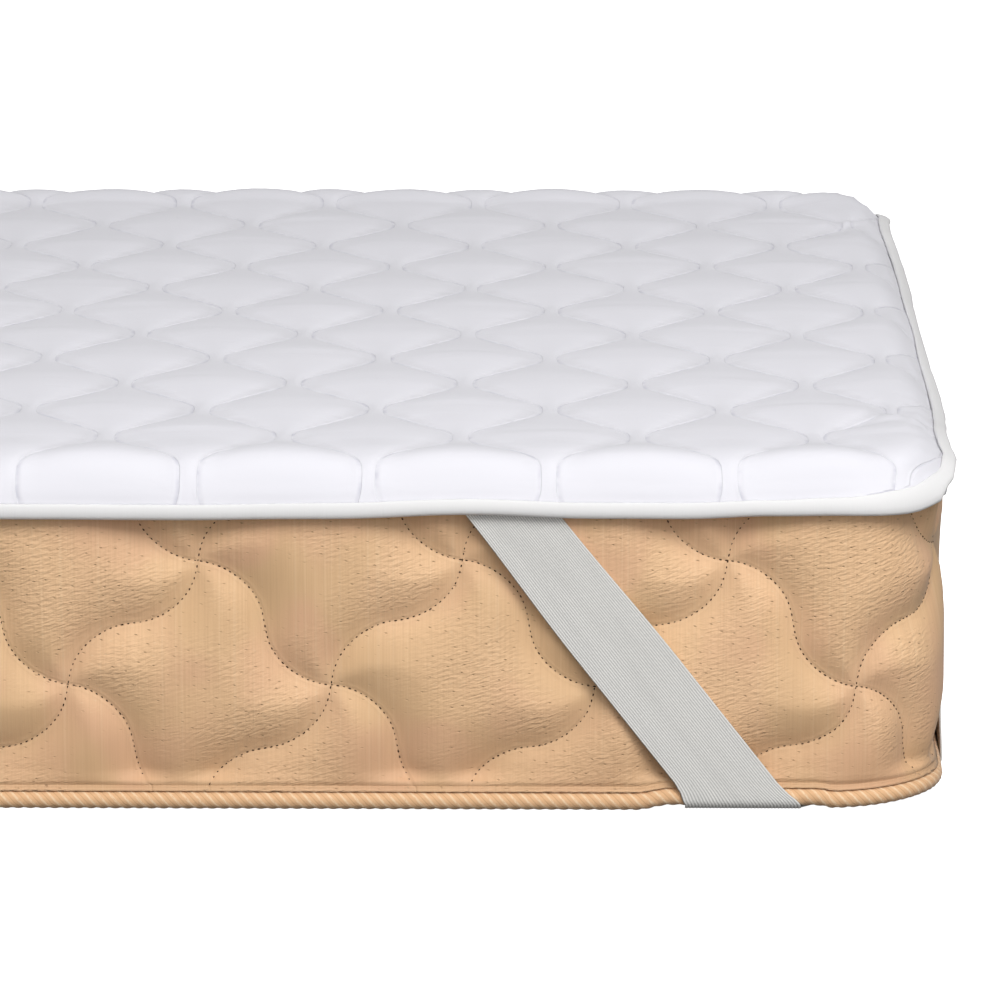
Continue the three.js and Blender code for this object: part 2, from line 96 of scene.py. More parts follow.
@dataclass(frozen=True)
class BedForm:
    """The mattress's outline and soft upper edge, and how the topper's hem hangs over it."""

    length: float = 2000
    width: float = 900
    height: float = 218
    corner_radius: float = 70
    edge_arc: float = 54
    cloth_edge: float = 64
    lying_gap: float = 0.3
    hem_gap: float = 1.8
    strap_along: float = 116
    squeeze_half: float = 45.77
    squeeze_fade: float = 22
    squeeze_rise: float = 3.4
    corner_reach: float = 130
    corner_rise: float = 3
    # how high up the border follows its drawn up bottom edge
    follow_from: float = 6
    follow_run: float = 70
    # where the binding turns up, over how far, and the share of the turn that it starts with
    pivot: float = 48
    turn_run: float = 6
    turn_start: float = 0.3
    # where the cloth is drawn in, so that the binding shows wider, and where that ends
    widen_from: float = 34
    widen_run: float = 15
    widen_to: float = 55.5
    widen_end: float = 8
    stand_pace: float = 1.6
    # along the outline from a corner's middle, wrap over the soft edge, how far it stands off,
    # how far the binding turns up in degrees, and how much wider it shows
    hem: tuple[tuple[float, float, float, float, float], ...] = (
        (-985, 55.6, 0.6, 0, 0), (-700, 55.2, 0.2, 0, 0), (-558, 56.1, 0.5, 0, 0),
        (-468, 56.3, 0.2, 0, 0), (-377, 55.2, 0.6, 0, 0), (-289, 52.8, 0.5, 0, 0),
        (-217, 54.6, 0, 0, 0), (-157, 54.7, 0.3, 0, 0), (-98, 53.0, 0.6, 0, 0),
        (-60, 52.6, 1, 0, 1), (-15, 53.6, 3, 0, 4.5), (14, 50.5, 5, 0, 6),
        (40, 45, 5.6, 6, 6), (70, 42.5, 5.2, 8, 6), (105, 42.5, 4.6, 10, 6),
        (160, 48, 0.4, 20, 6), (200, 50.5, -0.4, 22, 6), (270, 51, -0.2, 20, 6),
        (340, 48.5, 0.4, 14, 4), (435, 47.6, 1, 6, 2),
    )
    table: list[tuple[float, float]] = field(default_factory=list)

    def __post_init__(self) -> None:
        """Steps once along the soft edge and keeps its way out and drop."""
        steps = 540
        out = drop = 0.0
        self.table.append((0.0, 0.0))
        for i in range(steps):
            slope = math.pi / 2 * ((i + 0.5) / steps) ** 2
            out += math.cos(slope) * self.edge_arc / steps
            drop += math.sin(slope) * self.edge_arc / steps
            self.table.append((out, drop))

    @property
    def centre_x(self) -> float:
        """Where the corner arcs are centred along the bed."""
        return self.length / 2 - self.corner_radius

    @property
    def centre_y(self) -> float:
        """Where the corner arcs are centred across the bed."""
        return self.width / 2 - self.corner_radius

    @property
    def arc_half(self) -> float:
        """Half the length of a corner's arc."""
        return self.corner_radius * math.pi / 4

    @property
    def quarter(self) -> float:
        """A quarter of the outline."""
        return self.centre_x + self.centre_y + 2 * self.arc_half

    @property
    def perimeter(self) -> float:
        """The whole outline."""
        return 4 * self.quarter

    @property
    def core_radius(self) -> float:
        """The corner radius of the level top."""
        return self.corner_radius - self.table[-1][0]

    def edge(self, arc: float) -> tuple[float, float, float]:
        """The soft edge at an arc length.

        Args:
            arc: Distance over the edge from the level top, in millimetres.

        Returns:
            The way out, the drop and the slope there.
        """
        soft = min(max(arc, 0.0), self.edge_arc)
        place = soft / self.edge_arc * (len(self.table) - 1)
        low = min(int(place), len(self.table) - 2)
        share = place - low
        out = mix(self.table[low][0], self.table[low + 1][0], share)
        drop = mix(self.table[low][1], self.table[low + 1][1], share)
        slope = math.pi / 2 * (soft / self.edge_arc) ** 2
        return out, drop + max(0.0, arc - self.edge_arc), slope

    def hem_value(self, along: float, column: int) -> float:
        """Reads a column of the hem table, eased from row to row."""
        rows = self.hem
        if along <= rows[0][0]:
            return rows[0][column]
        for low, high in zip(rows, rows[1:]):
            if along < high[0]:
                share = ease((along - low[0]) / (high[0] - low[0]))
                return mix(low[column], high[column], share)
        return rows[-1][column]

    def round_place(self, distance: float) -> Place:
        """The place at a distance on the outline, counterclockwise from the front's middle."""
        index, rest = divmod(distance % self.perimeter, self.quarter)
        if index % 2:
            rest = self.quarter - rest
        along = rest - self.centre_x - self.arc_half
        side_x = 1 if index in (0, 1) else -1
        side_y = -1 if index in (0, 3) else 1
        if rest < self.centre_x:
            return Place(side_x * rest, side_y * self.centre_y, 0, side_y, along)
        if rest < self.centre_x + 2 * self.arc_half:
            angle = (rest - self.centre_x) / self.corner_radius
            return Place(
                side_x * self.centre_x, side_y * self.centre_y,
                side_x * math.sin(angle), side_y * math.cos(angle), along,
            )
        past = rest - self.centre_x - 2 * self.arc_half
        return Place(side_x * self.centre_x, side_y * (self.centre_y - past), side_x, 0, along)

    def cloth_place(self, x: float, y: float) -> Place:
        """The place that a flat point of the cloth belongs to."""
        side_x = -1 if x < 0 else 1
        side_y = -1 if y < 0 else 1
        past_x = max(0.0, abs(x) - self.centre_x)
        past_y = max(0.0, abs(y) - self.centre_y)
        past = math.hypot(past_x, past_y)
        if past_x == 0:
            along = -self.arc_half - (self.centre_x - abs(x))
        elif past_y == 0:
            along = self.arc_half + (self.centre_y - abs(y))
        else:
            along = self.corner_radius * (math.atan2(past_x, past_y) - math.pi / 4)
        return Place(
            side_x * min(abs(x), self.centre_x), side_y * min(abs(y), self.centre_y),
            side_x * past_x / past if past else 0.0, side_y * past_y / past if past else 0.0,
            along, past,
        )

    def draped(self, place: Place, cloth: float, height: float) -> Vector:
        """Lays a cloth point on the mattress.

        Args:
            place: The place on the outline that it belongs to.
            cloth: Its distance past the level top, measured flat.
            height: Its height over the cloth's underside.

        Returns:
            The point in metres.
        """
        if cloth <= 0:
            return place.point(self.core_radius + cloth, self.height + self.lying_gap + height)
        drawn = ease((cloth - self.widen_from) / self.widen_run)
        drawn *= 1 - ease((cloth - self.widen_to) / self.widen_end)
        cloth -= self.hem_value(place.along, 4) * drawn
        share = cloth / self.cloth_edge
        wrap = self.hem_value(place.along, 1)
        out, drop, slope = self.edge(share * wrap)
        turn = math.radians(self.hem_value(place.along, 3))
        if cloth > self.pivot and turn > 0:
            out, drop, slope = self.edge(self.pivot / self.cloth_edge * wrap)
            slope -= turn * ease((cloth - self.pivot) / self.turn_run + self.turn_start)
            past = (cloth - self.pivot) / self.cloth_edge * wrap
            out += past * math.cos(slope)
            drop += past * math.sin(slope)
        flare = self.hem_value(place.along, 2) * share * share
        stand = mix(self.lying_gap, self.hem_gap, ease(share * self.stand_pace)) + flare + height
        reach = self.core_radius + out + stand * math.sin(slope)
        return place.point(reach, self.height - drop + stand * math.cos(slope))

    def rise(self, along: float) -> float:
        """How far the bottom edge is drawn up, at a distance from a corner's middle."""
        away = abs(along)
        corner = self.corner_rise * (1 - ease(away / self.corner_reach))
        beside = abs(away - self.strap_along) - self.squeeze_half
        return max(corner, self.squeeze_rise * (1 - ease(beside / self.squeeze_fade)))

    def raised(self, along: float, z: float) -> float:
        """A height on the border, drawn up with the bottom edge."""
        return z + self.rise(along) * (1 - ease((z - self.follow_from) / self.follow_run))


def grid_mesh(
    columns: int,
    rows: int,
    point: Callable[[int, int], Vector],
    uv: Callable[[int, int], tuple[float, float]],
    close_columns: bool = False,
    close_rows: bool = False,
    seam_uv: Callable[[int, int], tuple[float, float]] | None = None,
) -> bmesh.types.BMesh:
    """A grid whose points are placed one by one, and whose ends may meet.

    Args:
        columns: Steps along the first way.
        rows: Steps along the second way.
        point: Gives the point of a column and row.
        uv: Gives the pattern's place at a column and row, in metres.
        close_columns: Whether the last column lies on the first.
        close_rows: Whether the last row lies on the first.
        seam_uv: Gives the second pattern's place, where there is one.

    Returns:
        The mesh, with its doubles merged.
    """
    bm = bmesh.new()
    bmesh.ops.create_grid(bm, x_segments=columns, y_segments=rows, size=1.0)
    index = {
        v: (round((v.co.x + 1) / 2 * columns), round((v.co.y + 1) / 2 * rows)) for v in bm.verts
    }
    layers = [(bm.loops.layers.uv.new("weave"), uv)]
    if seam_uv:
        layers.append((bm.loops.layers.uv.new("seams"), seam_uv))
    for layer, value in layers:
        known = {v: value(*index[v]) for v in bm.verts}
        for face in bm.faces:
            for loop in face.loops:
                loop[layer].uv = known[loop.vert]
    for v, (column, row) in index.items():
        v.co = point(
            column % columns if close_columns else column, row % rows if close_rows else row
        )
    bmesh.ops.remove_doubles(bm, verts=bm.verts, dist=1e-6)
    bmesh.ops.dissolve_degenerate(bm, dist=1e-7, edges=bm.edges)
    return bm


def finish_piece(
    bm: bmesh.types.BMesh, name: str, material: bpy.types.Material, closed: bool = True
) -> bpy.types.Object:
    """Turns a mesh into a piece that rides on the bed.

    Args:
        bm: The mesh, which is freed.
        name: The piece's name.
        material: Its finish.
        closed: Whether it is a closed shell, whose faces are turned outwards.

    Returns:
        The new object.
    """
    if closed:
        bmesh.ops.recalc_face_normals(bm, faces=bm.faces)
        if bm.calc_volume(signed=True) < 0:
            bmesh.ops.reverse_faces(bm, faces=bm.faces)
    for face in bm.faces:
        face.smooth = True
    mesh = bpy.data.meshes.new(name)
    bm.to_mesh(mesh)
    bm.free()
    mesh.materials.append(material)
    piece = bpy.data.objects.new(name, mesh)
    bpy.context.scene.collection.objects.link(piece)
    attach(piece, "root")
    LOG.info("%s: %d faces", name, len(mesh.polygons))
    return piece


def srgb(code: str) -> tuple[float, float, float, float]:
    """An sRGB hex colour as linear values."""
    parts = [int(code[i:i + 2], 16) / 255 for i in (1, 3, 5)]
    linear = [p / 12.92 if p <= 0.04045 else ((p + 0.055) / 1.055) ** 2.4 for p in parts]
    return linear[0], linear[1], linear[2], 1.0


# kinds of nodes and settings that the finishes share; MIXED is a colour mix's output
MATH, RANGE, MIX = "ShaderNodeMath", "ShaderNodeMapRange", "ShaderNodeMix"
NOISE, MAPPING = "ShaderNodeTexNoise", "ShaderNodeMapping"
SPLIT, UV_MAP = "ShaderNodeSeparateXYZ", "ShaderNodeUVMap"
WEAVE, SEAMS = {"uv_map": "weave"}, {"uv_map": "seams"}
TIMES, TIMES_PLUS = {"operation": "MULTIPLY"}, {"operation": "MULTIPLY_ADD"}
LESS, SIZE = {"operation": "SUBTRACT"}, {"operation": "ABSOLUTE"}
FOLD = {"operation": "PINGPONG"}
EASED = {"interpolation_type": "SMOOTHSTEP"}
FLAT = {"noise_dimensions": "2D"}
COLOURS, MIXED = {"data_type": "RGBA"}, 2


def plug(tree: bpy.types.NodeTree, node: bpy.types.Node, sockets: dict) -> None:
    """Sets or links a node's inputs.

    Args:
        tree: The tree that the node is in.
        node: The node.
        sockets: Values for its inputs, each a number, a colour, another node's output, or a node,
            which stands for its first output.
    """
    for key, value in sockets.items():
        source = value.outputs[0] if isinstance(value, bpy.types.Node) else value
        if isinstance(source, bpy.types.NodeSocket):
            tree.links.new(source, node.inputs[key])
        else:
            node.inputs[key].default_value = source


def add_node(
    tree: bpy.types.NodeTree, kind: str, settings: dict | None = None, sockets: dict | None = None
) -> bpy.types.Node:
    """Adds a node with its settings and links.

    Args:
        tree: The material's tree.
        kind: The node's type.
        settings: Values of its own properties.
        sockets: Values for its inputs, as plug takes them.

    Returns:
        The new node.
    """
    made = tree.nodes.new(kind)
    for name, value in (settings or {}).items():
        setattr(made, name, value)
    plug(tree, made, sockets or {})
    return made


@dataclass(frozen=True)
class Finish:
    """A plain finish; the patterned ones give their own colours and heights."""

    name: str
    colour: str
    roughness: float
    sheen: float = 0.0
    relief: float = 0.0
    strength: float = 0.0

    def pattern(self, tree: bpy.types.NodeTree) -> tuple[object, object]:
        """The base colour, and the pattern's height where it has one."""
        return srgb(self.colour), None

    @staticmethod
    def layered(
        tree: bpy.types.NodeTree, base: str, rows: tuple[tuple[object, float, str], ...]
    ) -> bpy.types.NodeSocket:
        """Lays colours over one another.

        Args:
            tree: The material's tree.
            base: The lowest colour.
            rows: For each one above it, where it shows, its greatest share, and the colour.

        Returns:
            The colour that shows.
        """
        colour: object = srgb(base)
        for where, most, code in rows:
            share = add_node(tree, MATH, TIMES, {0: where, 1: most})
            mixed = add_node(tree, MIX, COLOURS, {0: share, 6: colour, 7: srgb(code)})
            colour = mixed.outputs[MIXED]
        return colour

    def make(self) -> bpy.types.Material:
        """Makes the material, with its pattern's colour and height.

        Returns:
            The material.
        """
        material = bpy.data.materials.new(self.name)
        material.use_nodes = True
        tree = material.node_tree
        shader = tree.nodes["Principled BSDF"]
        tint, height = self.pattern(tree)
        plug(tree, shader, {
            "Base Color": tint, "Roughness": self.roughness, "IOR": 1.5,
            "Specular IOR Level": 0.3, "Sheen Weight": self.sheen, "Sheen Roughness": 0.5,
        })
        if height is not None:
            bump = add_node(
                tree, "ShaderNodeBump", None,
                {"Height": height, "Distance": self.relief, "Strength": self.strength},
            )
            plug(tree, shader, {"Normal": bump})
        return material


@dataclass(frozen=True)
class QuiltedMicrofibre(Finish):
    """Brushed polyester microfibre: a very fine matt nap with soft creases along the stitches."""

    sheen: float = 0.25
    relief: float = 0.0009
    strength: float = 0.55
    # painted shade along the stitch creases
    seam_shade_colour: str = "#cfced8"
    seam_reach: float = 30

    def pattern(self, tree: bpy.types.NodeTree) -> tuple[object, object]:
        """Makes puckers beside the stitches, fine wrinkles, a crease at each seam and painted
        shade along it.

        Args:
            tree: The material's tree.

        Returns:
            The colour and the height.
        """
        weave = add_node(tree, UV_MAP, WEAVE)
        seams = add_node(tree, UV_MAP, SEAMS)
        away = add_node(tree, SPLIT, None, {0: seams})
        away = add_node(tree, MATH, FOLD, {0: away, 1: 1.0})
        away = add_node(tree, MATH, TIMES, {0: away, 1: self.seam_reach})
        lay = add_node(tree, MAPPING, None, {0: seams, 3: (2.2, 95, 1)})
        pucker = add_node(tree, NOISE, FLAT, {"Vector": lay, "Scale": 1.0, "Detail": 2.0})
        lay = add_node(tree, MAPPING, None, {0: weave, 2: (0, 0, 0.4), 3: (26, 70, 1)})
        wrinkle = add_node(
            tree, NOISE, FLAT, {"Vector": lay, "Scale": 1.0, "Detail": 3.0, "Distortion": 0.6}
        )
        beside = add_node(tree, RANGE, EASED, {0: away, 1: 1.0, 2: 16.0, 3: 1.0, 4: 0.0})
        gathered = add_node(tree, MATH, TIMES, {0: pucker, 1: beside})
        height = add_node(tree, RANGE, EASED, {0: away, 1: 0.0, 2: 2.4})
        height = add_node(tree, MATH, TIMES_PLUS, {0: wrinkle, 1: 0.45, 2: height})
        height = add_node(tree, MATH, TIMES_PLUS, {0: gathered, 1: 1.1, 2: height})
        # painted shade: the cloth is tinted darker along each stitch crease, unevenly
        seam = add_node(tree, RANGE, EASED, {0: away, 1: 0.0, 2: 2.0, 3: 1.0, 4: 0.0})
        uneven = add_node(tree, RANGE, EASED, {0: pucker, 1: 0.3, 2: 0.75})
        seam = add_node(tree, MATH, TIMES, {0: seam, 1: uneven})
        return self.layered(tree, self.colour, ((seam, 1.0, self.seam_shade_colour),)), height


@dataclass(frozen=True)
class BindingTape(Finish):
    """Woven polyester tape, folded and sewn: smoother and brighter than the quilted cloth."""

    sheen: float = 0.15
    relief: float = 0.0002
    strength: float = 0.35
    # the real ribs are 0.4 mm apart, and are drawn coarser so that they show
    rib_pitch: float = 1.6
    rib_stretch: float = 0.06

    def pattern(self, tree: bpy.types.NodeTree) -> tuple[object, object]:
        """Makes fine ribs across the tape.

        Args:
            tree: The material's tree.

        Returns:
            The colour and the height.
        """
        weave = add_node(tree, UV_MAP, WEAVE)
        scale = 1 / (self.rib_pitch * MM)
        lay = add_node(tree, MAPPING, None, {0: weave, 3: (scale, scale * self.rib_stretch, 1)})
        rib = add_node(tree, NOISE, FLAT, {"Vector": lay, "Scale": 1.0, "Detail": 1.0})
        return srgb(self.colour), rib


@dataclass(frozen=True)
class RibbedElastic(Finish):
    """Woven elastic, rubber cores under polyester yarn: light ribs, with painted shade grey in the
    grooves between them.
    """

    relief: float = 0.0003
    strength: float = 0.5
    groove_shade_colour: str = "#c0bfbc"

    def pattern(self, tree: bpy.types.NodeTree) -> tuple[object, object]:
        """Makes ribs that follow the strap, broken up by a faint cross weave.

        Args:
            tree: The material's tree.

        Returns:
            The colour and the height.
        """
        weave = add_node(tree, UV_MAP, WEAVE)
        split = add_node(tree, SPLIT, None, {0: weave})
        rib = add_node(tree, MATH, FOLD, {0: split.outputs[1], 1: 1.0})
        lay = add_node(tree, MAPPING, None, {0: weave, 3: (700, 0.5, 1)})
        cross = add_node(tree, NOISE, FLAT, {"Vector": lay, "Scale": 1.0, "Detail": 2.0})
        lay = add_node(tree, MAPPING, None, {0: weave, 3: (14, 0.08, 1)})
        patch = add_node(tree, NOISE, FLAT, {"Vector": lay, "Scale": 1.0, "Detail": 2.0})
        patch = add_node(tree, RANGE, EASED, {0: patch, 1: -0.6, 2: 0.7})
        # painted shade: the grooves between the ribs are tinted grey
        light = add_node(tree, RANGE, EASED, {0: rib, 1: 0.15, 2: 0.85})
        light = add_node(tree, MATH, TIMES, {0: light, 1: patch})
        faint = add_node(tree, MATH, TIMES, {0: cross, 1: 0.15})
        light = add_node(tree, MATH, TIMES_PLUS, {0: light, 1: 0.8, 2: faint})
        height = add_node(tree, MATH, TIMES_PLUS, {0: cross, 1: 0.3, 2: rib})
        return self.layered(tree, self.groove_shade_colour, ((light, 1.0, self.colour),)), height


@dataclass(frozen=True)
class WovenTicking(Finish):
    """Woven polyester ticking: fine upright threads with short slubs give a dry, low lustre."""

    sheen: float = 0.1
    relief: float = 0.0006
    strength: float = 0.7
    yellow_colour: str = "#e1ba8e"
    pink_colour: str = "#e3b590"
    light_colour: str = "#eec59a"
    dark_colour: str = "#c39973"
    band_colour: str = "#f6d6ae"
    slub_colour: str = "#96714f"
    pale_slub_colour: str = "#ecd0aa"
    # the real threads are 0.3 mm apart, and are drawn coarser so that they show
    thread_pitch: float = 1.3
    slub_pitch: float = 7.8
    slub_stretch: float = 1.15
    wrinkle_length: float = 5.6
    wrinkle_pitch: float = 1.9
    seam_reach: float = 40

    def pattern(self, tree: bpy.types.NodeTree) -> tuple[object, object]:
        """Makes threads, slubs, small wrinkles, a crease at each stitch line and painted shade low
        on the border.

        Args:
            tree: The material's tree.

        Returns:
            The colour and the height.
        """
        weave = add_node(tree, UV_MAP, WEAVE)
        seams = add_node(tree, UV_MAP, SEAMS)
        split = add_node(tree, SPLIT, None, {0: seams})
        first = add_node(tree, MATH, FOLD, {0: split, 1: 1.0})
        second = add_node(tree, MATH, FOLD, {0: split.outputs[1], 1: 1.0})
        away = add_node(tree, MATH, {"operation": "MINIMUM"}, {0: first, 1: second})
        away = add_node(tree, MATH, TIMES, {0: away, 1: self.seam_reach})

        # turn, scale and detail of each noise on the weave
        plans = (
            (0, (1 / (self.thread_pitch * MM), 14, 1), 2.0),
            (0, (330, 1.5, 1), 1.0),
            (0, (9, 11, 1), 2.0),
            (0.7, (16, 13, 1), 1.0),
        )
        made = []
        for turn, scale, detail in plans:
            lay = add_node(tree, MAPPING, None, {0: weave, 2: (0, 0, turn), 3: scale})
            made.append(
                add_node(tree, NOISE, FLAT, {"Vector": lay, "Scale": 1.0, "Detail": detail})
            )
        threads, bands, patches, hues = made
        size = (self.wrinkle_length * MM, self.wrinkle_pitch * MM, 1)
        lay = add_node(
            tree, MAPPING, {"vector_type": "TEXTURE"}, {0: weave, 2: (0, 0, 0.3), 3: size}
        )
        wrinkles = add_node(
            tree, NOISE, FLAT, {"Vector": lay, "Scale": 1.0, "Detail": 1.5, "Distortion": 0.2}
        )

        # a slub is a short dash at the middle of a cell, dark in some cells and pale in the rest
        scale = 1 / (self.slub_pitch * MM)
        lay = add_node(
            tree, MAPPING, None,
            {0: weave, 2: (0, 0, 0.25), 3: (scale / self.slub_stretch, scale, 1)},
        )
        cell = add_node(
            tree, "ShaderNodeTexVoronoi", {"voronoi_dimensions": "2D", "distance": "EUCLIDEAN"},
            {"Vector": lay, "Scale": 1.0, "Randomness": 0.75},
        )
        offset = add_node(
            tree, "ShaderNodeVectorMath", LESS, {0: lay, 1: cell.outputs["Position"]}
        )
        split = add_node(tree, SPLIT, None, {0: offset})
        along = add_node(tree, MATH, SIZE, {0: split})
        across = add_node(tree, MATH, SIZE, {0: split.outputs[1]})
        dash = add_node(tree, MATH, TIMES_PLUS, {0: across, 1: 2.4, 2: along})
        dash = add_node(tree, RANGE, EASED, {0: dash, 1: 0.06, 2: 0.19, 3: 1.0, 4: 0.0})
        loose = add_node(tree, RANGE, EASED, {0: patches, 1: 0.25, 2: 0.6})
        dash = add_node(tree, MATH, TIMES, {0: dash, 1: loose})
        split = add_node(tree, SPLIT, None, {0: cell.outputs["Color"]})
        shown = add_node(tree, MATH, {"operation": "GREATER_THAN"}, {0: split, 1: 0.45})
        dark = add_node(tree, MATH, TIMES, {0: dash, 1: shown})
        pale = add_node(tree, MATH, LESS, {0: dash, 1: dark})

        split = add_node(tree, SPLIT, None, {0: weave})
        tint = self.layered(tree, self.yellow_colour, (
            (add_node(tree, RANGE, EASED, {0: hues, 1: 0.4, 2: 0.6}), 1.0, self.pink_colour),
            (add_node(tree, RANGE, EASED, {0: patches, 1: 0.25, 2: 0.75}), 1.0, self.light_colour),
            (add_node(tree, RANGE, EASED, {0: threads, 1: 0.35, 2: 0.75}), 0.17, self.dark_colour),
            (add_node(tree, RANGE, EASED, {0: bands, 1: 0.62, 2: 0.72}), 0.16, self.band_colour),
            (dark, 0.6, self.slub_colour),
            (pale, 0.35, self.pale_slub_colour),
            # painted shade: darker towards the bottom, just above the piping
            (
                add_node(
                    tree, RANGE, EASED, {0: split.outputs[1], 1: 0.012, 2: 0.085, 3: 1.0, 4: 0.0}
                ),
                0.42, self.dark_colour,
            ),
        ))

        inside = add_node(tree, RANGE, EASED, {0: away, 1: 1.0, 2: 16.0})
        loose = add_node(tree, RANGE, EASED, {0: patches, 1: 0.3, 2: 0.65})
        ruffle = add_node(tree, MATH, TIMES, {0: wrinkles, 1: inside})
        ruffle = add_node(tree, MATH, TIMES, {0: ruffle, 1: loose})
        crease = add_node(tree, RANGE, EASED, {0: away, 1: 0.0, 2: 2.4})
        height: object = 0.0
        for part, most in ((threads, 0.18), (ruffle, 1.9), (crease, 0.9), (dark, -0.8)):
            height = add_node(tree, MATH, TIMES_PLUS, {0: part, 1: most, 2: height})
        return tint, height


@dataclass(frozen=True)
class TwistedCord(Finish):
    """Twisted polyester cord: pale and tan yarns lie side by side in each strand; painted shade
    darkens the grooves.
    """

    sheen: float = 0.2
    relief: float = 0.0004
    strength: float = 0.5
    yarn_colour: str = "#f6dcb8"
    groove_shade_colour: str = "#b98d62"

    def pattern(self, tree: bpy.types.NodeTree) -> tuple[object, object]:
        """Makes yarns that follow the strands through the cord's own pattern map.

        Args:
            tree: The material's tree.

        Returns:
            The colour and the height.
        """
        weave = add_node(tree, UV_MAP, WEAVE)
        split = add_node(tree, SPLIT, None, {0: weave})
        strand = add_node(tree, MATH, FOLD, {0: split, 1: 0.5})
        lay = add_node(tree, MAPPING, None, {0: weave, 3: (9, 3, 1)})
        yarn = add_node(tree, NOISE, FLAT, {"Vector": lay, "Scale": 1.0, "Detail": 2.0})
        crown = add_node(tree, RANGE, EASED, {0: strand, 1: 0.30, 2: 0.48})
        loose = add_node(tree, RANGE, EASED, {0: yarn, 1: 0.2, 2: 0.6})
        light = add_node(tree, MATH, TIMES, {0: crown, 1: loose})
        # painted shade: the grooves between the strands are tinted darker
        groove = add_node(tree, RANGE, EASED, {0: strand, 1: 0.0, 2: 0.09, 3: 1.0, 4: 0.0})
        rows = ((light, 0.75, self.yarn_colour), (groove, 0.5, self.groove_shade_colour))
        return self.layered(tree, self.colour, rows), yarn


@dataclass
class QuiltedPanel:
    """The microfibre panel: wavy stitch lines that meet in necks, with soft crowns between."""

    form: BedForm
    valley: float = 7.4
    crown: float = 5.6
    neck_crown: float = 1.5
    pitch: float = 56.65
    swing: float = 23.325
    half_period: float = 76.9
    neck_half: float = 13
    neck_gap: float = 10
    origin_x: float = 518.9
    origin_y: float = -448.8
    seam: float = 54.2
    columns_between: int = 7
    merge: float = 0.25
    unlike: float = 0.22
    roundness: float = 0.62
    lean: float = 0.15
    # how much, from where past the level top, and over how far: the fuller long edges, the fade of
    # the crowns, the fall to the hem, and the flat rim
    fuller: tuple[float, float, float] = (3.0, -20, 30)
    fade: tuple[float, float, float] = (0.85, 24, 26)
    fall: tuple[float, float, float] = (5.4, 28, 24)
    rim: tuple[float, float, float] = (5.0, 49, 5.2)
    # the cloth's unevenness: its height, its lengths both ways, and where in the noise it is
    uneven: tuple[tuple[float, float, float, float], ...] = (
        (0.8, 190, 140, 3.1), (0.35, 40, 33, 7.7),
    )
    # the rings from the rim in below the cloth: distance past the level top, and height
    rings: tuple[tuple[float, float], ...] = (
        (54.7, 4.7), (62.2, 4.7), (62.2, 1.3), (54.7, 1.3), (54.4, 0), (38, 0), (24, 0), (9, 0),
        (0, 0),
    )
    crease_tail: float = 0.15
    crease_far_side: float = 0.75
    # from and to in a corner's quarter, then depth and width
    corner_creases: tuple[tuple[float, float, float, float, float, float], ...] = (
        (984, -228, 987, -274, 2.2, 5), (989, -278, 1000, -326, 2.6, 6),
        (959, -271, 977, -322, 1.6, 5), (931, -346, 975, -331, 2.2, 6),
        (975, -331, 997, -353, 2.2, 6), (925, -203, 977, -322, 1.4, 5),
        (917, -360, 965, -455, 1.8, 6), (948, -306, 1000, -345, -3.2, 9),
    )

    def raw_wave(self, y: float) -> float:
        """1 at a line's own necks and -1 at the others, level along the necks."""
        turn = ((y - self.origin_y) / self.half_period) % 2
        away = 2 - turn if turn > 1 else turn
        flat = self.neck_half / self.half_period
        return 1 - 2 * min(1.0, max(0.0, (away - flat) / (1 - 2 * flat)))

    def wave(self, y: float) -> float:
        """The wave with its bends rounded by about 6 mm."""
        return sum(self.raw_wave(y + step) for step in (-7, -3.5, 0, 3.5, 7)) / 5

    def line_x(self, index: int, y: float) -> float:
        """Where a stitch line runs; neighbours swing opposite ways."""
        swing = -self.swing if index % 2 == 0 else self.swing
        wander = 1.6 * ripple(index * 3.7, y / 60)
        return self.origin_x + (index + 0.5) * self.pitch + swing * self.wave(y) + wander

    def relief(self, column: float, y: float) -> float:
        """How far the cloth crowns up over its valleys."""
        line = math.floor(column)
        width = self.line_x(line + 1, y) - self.line_x(line, y)
        share = (width - self.neck_gap) / (2 * self.pitch - 2 * self.neck_gap)
        phase = 0 if line % 2 == 0 else 1
        cell = math.floor(((y - self.origin_y) / self.half_period + phase) / 2)
        full = 1 + self.unlike * ripple(line * 1.7 + 0.3, cell * 2.3 + 0.7)
        top = mix(self.neck_crown, self.crown, share) * full
        within = column - line
        soft = math.sin(math.pi * within) ** self.roundness
        lean = 1 + self.lean * ripple(line * 0.9, cell * 1.1, within * 1.5)
        return max(0.0, top) * soft * lean

    def rows(self, reach: float) -> list[float]:
        """Rows across the bed, closer at the necks and at the rounded corners."""
        found = {-reach, reach}
        for near in (0.6, 1.6, 3.2, 5.5, 8.5, 12):
            found.update((near - reach, reach - near))
        step = (self.half_period - 2 * self.neck_half) / 11
        count = int(2 * reach / self.half_period) + 2
        for k in range(-1, count):
            middle = self.origin_y + k * self.half_period
            spots = [middle + s * self.neck_half / 2.5 for s in (-2.5, -1.5, -0.5, 0.5, 1.5, 2.5)]
            spots += [middle + self.neck_half + step * i for i in range(1, 11)]
            found.update(y for y in spots if abs(y) < reach - 14)
        return sorted(found)

    def build(self, material: bpy.types.Material) -> bpy.types.Object:
        """Shapes the panel and folds its rim in under the binding."""
        form = self.form
        radius = form.core_radius + self.seam
        reach_y = form.centre_y + radius
        reach_x = form.centre_x + radius
        rows = self.rows(reach_y)
        first = math.floor((-reach_x - self.swing - self.origin_x) / self.pitch)
        last = math.ceil((reach_x + self.swing - self.origin_x) / self.pitch)
        steps = (last - first) * self.columns_between

